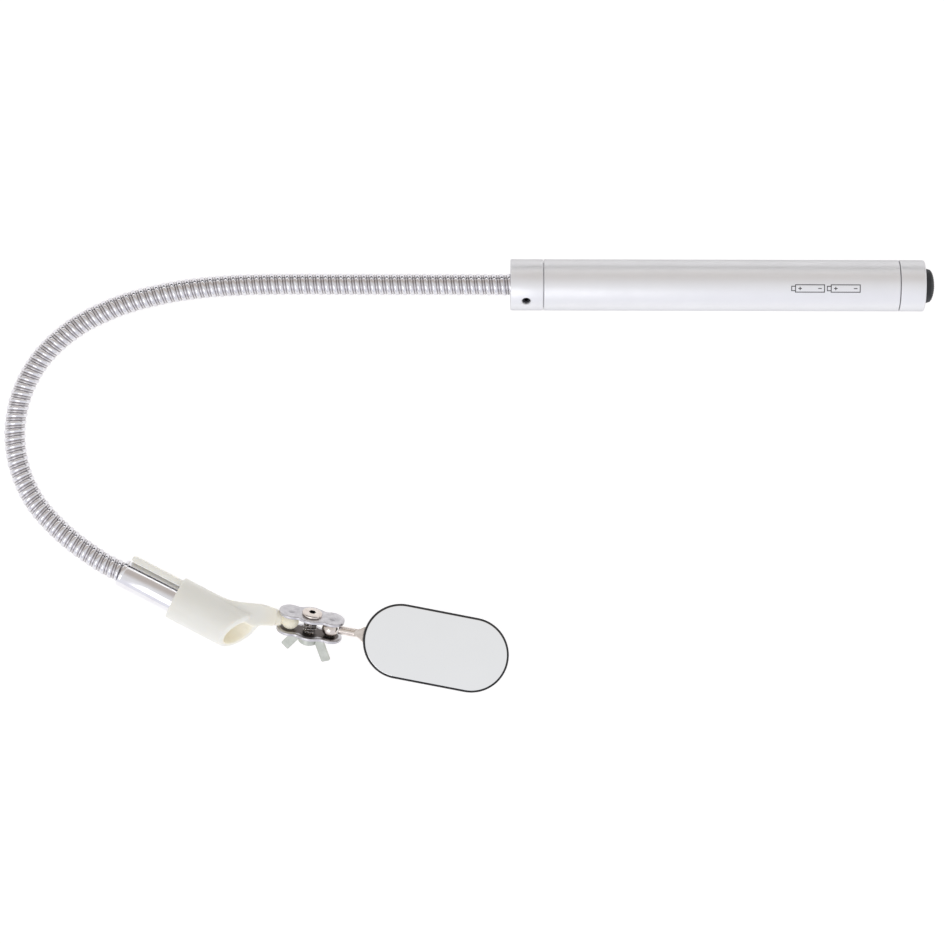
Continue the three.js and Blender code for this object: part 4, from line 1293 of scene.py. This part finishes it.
def plateOutline():
    half = plate["spacing"] / 2
    toBulge = plate["bulge"] + plate["fillet"]
    toLobe = plate["lobe"] + plate["fillet"]
    x = (toBulge**2 - toLobe**2 + half**2) / (2 * half)
    y = math.sqrt(toBulge**2 - x**2)
    bulgeTurn = math.degrees(math.atan2(y, x))
    lobeTurn = math.degrees(math.atan2(y, x - half))
    waist = lobeTurn - bulgeTurn
    shape = bmesh.new()
    turn = math.radians(lobeTurn)
    start = Vector((half, 0)) + plate["lobe"] * Vector((math.cos(turn), -math.sin(turn)))
    corner = shape.verts.new((*start, 0))
    corner = arcFrom(shape, corner, (half, 0, 0), 2 * lobeTurn, plate["roundSteps"])
    corner = arcFrom(shape, corner, (x, y, 0), -waist, plate["waistSteps"])
    corner = arcFrom(shape, corner, (0, 0, 0), 180 - 2 * bulgeTurn, plate["roundSteps"] // 2)
    corner = arcFrom(shape, corner, (-x, y, 0), -waist, plate["waistSteps"])
    corner = arcFrom(shape, corner, (-half, 0, 0), 2 * lobeTurn, plate["roundSteps"])
    corner = arcFrom(shape, corner, (-x, -y, 0), -waist, plate["waistSteps"])
    corner = arcFrom(shape, corner, (0, 0, 0), 180 - 2 * bulgeTurn, plate["roundSteps"] // 2)
    arcFrom(shape, corner, (x, -y, 0), -waist, plate["waistSteps"])
    return shape


def makePlate(name, side, node):
    inner = plate["inner"]
    outer = inner + plate["thick"]
    base = slabFrom(plateOutline(), inner, outer)
    domes, sockets = [], []
    for end in (-1, 1):
        centre = (end * plate["spacing"] / 2, 0, 0)
        dome = ballOf(plate["socket"] + plate["shell"], centre)
        bmesh.ops.bisect_plane(
            dome, geom=dome.verts[:] + dome.edges[:] + dome.faces[:], dist=1e-5,
            plane_co=(0, 0, inner + plate["thick"] / 2), plane_no=(0, 0, -1), clear_outer=True,
        )
        bmesh.ops.holes_fill(dome, edges=[edge for edge in dome.edges if edge.is_boundary], sides=0)
        bmesh.ops.recalc_face_normals(dome, faces=dome.faces)
        domes.append(dome)
        sockets.append(ballOf(plate["socket"], centre))
    base = combine(base, domes, "UNION")
    base = combine(base, [*sockets, alongZ(rodOf(inner - 1, outer + 2, plate["hole"]))])
    base = moulded(base, plate["grain"], plate["smoothing"])
    if side < 0:
        moved(base, Matrix.Rotation(math.pi, 4, "X"))

    def paintedShade(place):  # painted shade on the inner face between the plates, away from its rim
        low = (inner + 2 * plate["paintedShade"] - abs(place.z)) / plate["paintedShade"]
        toLobe = plate["lobe"] - math.hypot(abs(place.x) - plate["spacing"] / 2, place.y)
        toBulge = plate["bulge"] - math.hypot(place.x, place.y)
        toWaist = plate["lobe"] - 0.4 - abs(place.y) if abs(place.x) < plate["spacing"] / 2 else 0
        inside = (max(toLobe, toBulge, toWaist) - plate["unshadedRim"]) / plate["paintedShade"]
        return max(0.0, min(1.0, low, inside))

    makePiece(name, base, clampPlace, plateNickel, "clamp", [node], sharp=70, measure=paintedShade)


screw = {
    "headRadius": 3.45, "seat": 3.95, "headHeight": 0.85, "crown": 0.12, "radius": 1.5, "root": 1.27,
    "pitch": 0.5, "tip": -6.3, "socket": 1.25, "socketDepth": 1.1, "shadeLining": 0.12,
    "threadTop": 3.4, "steps": 32,
}


def makeScrew():
    seat, r = screw["seat"], screw["headRadius"]
    root, crest = screw["root"], screw["radius"]
    tip, threadTop = screw["tip"], screw["threadTop"]
    top = seat + screw["headHeight"]
    shape = turned([
        (tip + 0.1, 0), (tip + 0.1, root - 0.3), (tip + 0.4, root), (threadTop, root),
        (threadTop + 0.2, crest), (seat, crest), (seat, r - 0.1), (seat + 0.1, r), (top - 0.35, r),
        (top - 0.15, r - 0.1), (top, r - 0.4), (top + screw["crown"], 0),
    ], 96)
    thread = screwSurface(
        [(0, root - 0.1), (0.08, root), (0.45, crest), (0.55, crest), (0.92, root), (1, root - 0.1)],
        screw["pitch"], tip + 0.3, threadTop - 0.1, screw["steps"], root - 0.25,
    )
    socket = rodOf(top - screw["socketDepth"], top + 1, screw["socket"], 6)
    shape = combine(shape, [socket])
    joinShapes(shape, thread)
    # painted shade: a dark sheet lining the hex socket of the nickel screw stands in for the shade in the
    # recess
    floorAt = top - screw["socketDepth"]
    shadeLining = rodOf(floorAt + 0.01, top - 0.15, screw["socket"] - 0.01, 6)
    shadeLining = combine(shadeLining, [rodOf(floorAt + 0.15, top + 1, screw["socket"] - screw["shadeLining"], 6)])
    makePiece("screw_socket_shade", alongZ(shadeLining), clampPlace, darkSteelAndSocketShade, "clamp")
    makePiece("clamp_screw_turned", alongZ(shape), clampPlace, warmNickel, "clamp",
              ["clamp_screw"], sharp=28)


coil = {"radius": 1.98, "wire": 0.6, "half": 2.28, "turns": 4.25}


def makeClampSpring():
    shape = alongZ(coilOf(coil["radius"], coil["wire"], -coil["half"], coil["half"], coil["turns"], 36, 12))
    makePiece("clamp_coil", shape, clampPlace, springSteel, "clamp", ["clamp_spring"],
              sharp=50)


wing = {
    "turn": -18, "hub": 3.2, "hubHeight": 2.4, "dome": 0.8, "hole": 1.65, "seat": 4.15, "rootIn": 1.2,
    "low": 0.1, "splay": 31, "reach": 7.9, "drop": 7.35, "thick": 1.0, "width": 3.3, "shoulder": 0.5,
    "rootHeight": 2.25, "cut": 0.35, "domeSteps": 8, "grain": 0.12, "smoothing": 4,
}


def makeWingBlade(side):  # a flat blade in one plane with the screw
    top = -wing["seat"] - wing["low"]
    lean = math.radians(wing["splay"])
    along = Vector((math.sin(lean), -math.cos(lean)))
    across = Vector((-along.y, along.x))
    end = Vector((wing["reach"], -wing["seat"] - wing["drop"]))
    outerEnd = end + across * wing["width"] / 2
    innerEnd = end - across * wing["width"] / 2
    outer = outerEnd - along * (outerEnd.y - top + wing["shoulder"]) / along.y
    inner = innerEnd - along * (innerEnd.y - top + wing["rootHeight"]) / along.y
    root = wing["hub"] - wing["rootIn"]
    corner, cut = wing["shoulder"], wing["cut"]
    shape = bmesh.new()
    last = shape.verts.new((root, top, 0))
    for point in (
        (outer.x - 2 * corner, top), (outer.x - 0.8 * corner, top - 0.2 * corner),
        (outer.x - 0.2 * corner, top - 0.6 * corner), outer + along * corner * 0.3,
        outerEnd - along * cut, outerEnd - across * cut, innerEnd + across * cut, innerEnd - along * cut,
        inner, (root, inner.y),
    ):
        last = lineTo(shape, last, point)
    lineBack(shape, last)
    slabFrom(shape, -wing["thick"] / 2, wing["thick"] / 2)
    moved(shape, Matrix.Rotation(math.pi / 2, 4, "X"))
    if side < 0:
        moved(shape, Matrix.Rotation(math.pi, 4, "Z"))
    return shape


def makeWingNut():
    top = -wing["seat"]
    bottom = top - wing["hubHeight"]
    r, dome = wing["hub"], wing["dome"]
    profile = [(top, 0), (top, r - 0.15), (top - 0.15, r), (bottom, r)]
    for i in range(1, wing["domeSteps"] + 1):
        turn = math.pi / 2 * i / wing["domeSteps"]
        profile.append((bottom - dome * math.sin(turn), r * math.cos(turn)))
    hub = alongZ(turned(profile, 64))
    hole = alongZ(rodOf(bottom - dome - 1, top + 1, wing["hole"]))
    shape = combine(hub, [makeWingBlade(1), makeWingBlade(-1)], "UNION")
    shape = combine(shape, [hole])
    shape = moulded(shape, wing["grain"], wing["smoothing"])
    moved(shape, Matrix.Rotation(math.radians(wing["turn"]), 4, "Z"))
    makePiece("stamped_wing_nut", shape, clampPlace, paleNickel, "wing_nut", ["wing_nut"],
              sharp=60)


makePlate("pressed_plate_top", 1, "clamp_plate_upper")
makePlate("pressed_plate_bottom", -1, "clamp_plate_lower")
makeScrew()
makeClampSpring()
makeWingNut()
print("clamp made")

# ---- mirror ----

stem = {
    "radius": 1.45, "start": 2.7, "spadeStart": 9.0, "spadeEnd": 24.0, "spadeWidth": 5.5, "spadeThick": 1.0,
    "taper": 3.0, "corner": 1.2, "grain": 0.14, "smoothing": 8,
}


def makeStem():
    r = stem["radius"]
    half = stem["spadeWidth"] / 2
    start, end = stem["spadeStart"], stem["spadeEnd"]
    full = start + stem["taper"]
    shaft = turned([
        (stem["start"], 0), (stem["start"], r), (start - 0.5, r), (start + 2, r * 0.95),
        (full + 1.5, r * 0.55), (full + 3.5, 0),
    ], 48)
    shape = bmesh.new()
    corner = shape.verts.new((start - 0.8, -r * 0.9, 0))
    outline = [
        (start + 0.6, -r), (start + 1.3, -half * 0.68), (full - 0.6, -half),
        (end - stem["corner"], -half), (end, -half + stem["corner"]),
    ]
    for x, y in outline:
        corner = lineTo(shape, corner, (x, y))
    for x, y in reversed(outline):
        corner = lineTo(shape, corner, (x, -y))
    corner = lineTo(shape, corner, (start - 0.8, r * 0.9))
    lineBack(shape, corner)
    slabFrom(shape, r - stem["spadeThick"], r)
    shape = combine(shaft, [shape], "UNION")
    shape = moulded(shape, stem["grain"], stem["smoothing"])
    makePiece("stem_with_spade", shape, mirrorPlace, warmNickel, "mirror", ["mirror_stem"],
              sharp=60)


def makeMirrorBall():
    shape = flatBall(ball["radius"], ball["flat"], 1)
    makePiece("steel_ball", shape, mirrorPlace, warmNickel, "mirror_ball", ["mirror_ball"])


glass = {
    "length": 50.0, "width": 25.5, "centre": 36.3, "back": 1.75, "height": 3.0, "rim": 0.6, "floor": 0.8,
    "thick": 1.85, "padding": 0.25, "clearance": 0.06, "edge": 0.1, "shellEdge": 0.28, "steps": 48,
}


def mirrorSlab(inset, low, high):  # the mirror's outline, drawn in by the inset
    outline = obround(glass["length"] - 2 * inset, glass["width"] - 2 * inset, glass["steps"])
    return slabFrom(outline, low, high)


def makeShell():
    outer = mirrorSlab(0, 0, glass["height"])
    pocket = mirrorSlab(glass["rim"], glass["floor"], glass["height"] + 1)
    shape = combine(outer, [pocket])
    bmesh.ops.dissolve_limit(shape, angle_limit=0.01, verts=shape.verts, edges=shape.edges)
    softenEdges(shape, glass["shellEdge"], 3, 60)
    moved(shape, Matrix.Translation((glass["centre"], 0, glass["back"])))
    makePiece("backing_shell", shape, mirrorPlace, blackRim, "mirror", ["mirror_frame"],
              sharp=40)


def makeGlass():
    back = glass["back"] + glass["floor"] + glass["padding"]
    shape = mirrorSlab(glass["rim"] + glass["clearance"], back, back + glass["thick"])
    softenEdges(shape, glass["edge"], 2, 60)
    moved(shape, Matrix.Translation((glass["centre"], 0, 0)))
    makePiece("mirror_plate", shape, mirrorPlace, mirrorSilver, "mirror", ["mirror_glass"],
              sharp=20)


makeMirrorBall()
makeStem()
makeShell()
makeGlass()
print("mirror made")

# ---- the fixed parts that stay as they are, inside the handle ----

innerFinishes = {
    "driver_board": boardGreen, "front_contact": brass,
    "battery_front": cellJacket, "battery_rear": cellJacket, "battery_spring": springSteel,
    "switch_retainer": brass, "switch_body": blackPlastic,
    "switch_plunger": whitePlastic, "switch_spring": springSteel,
}
for node, material in innerFinishes.items():
    data = frame["nodes"][node].data
    data.materials.clear()
    data.materials.append(material)
print("inner parts finished")
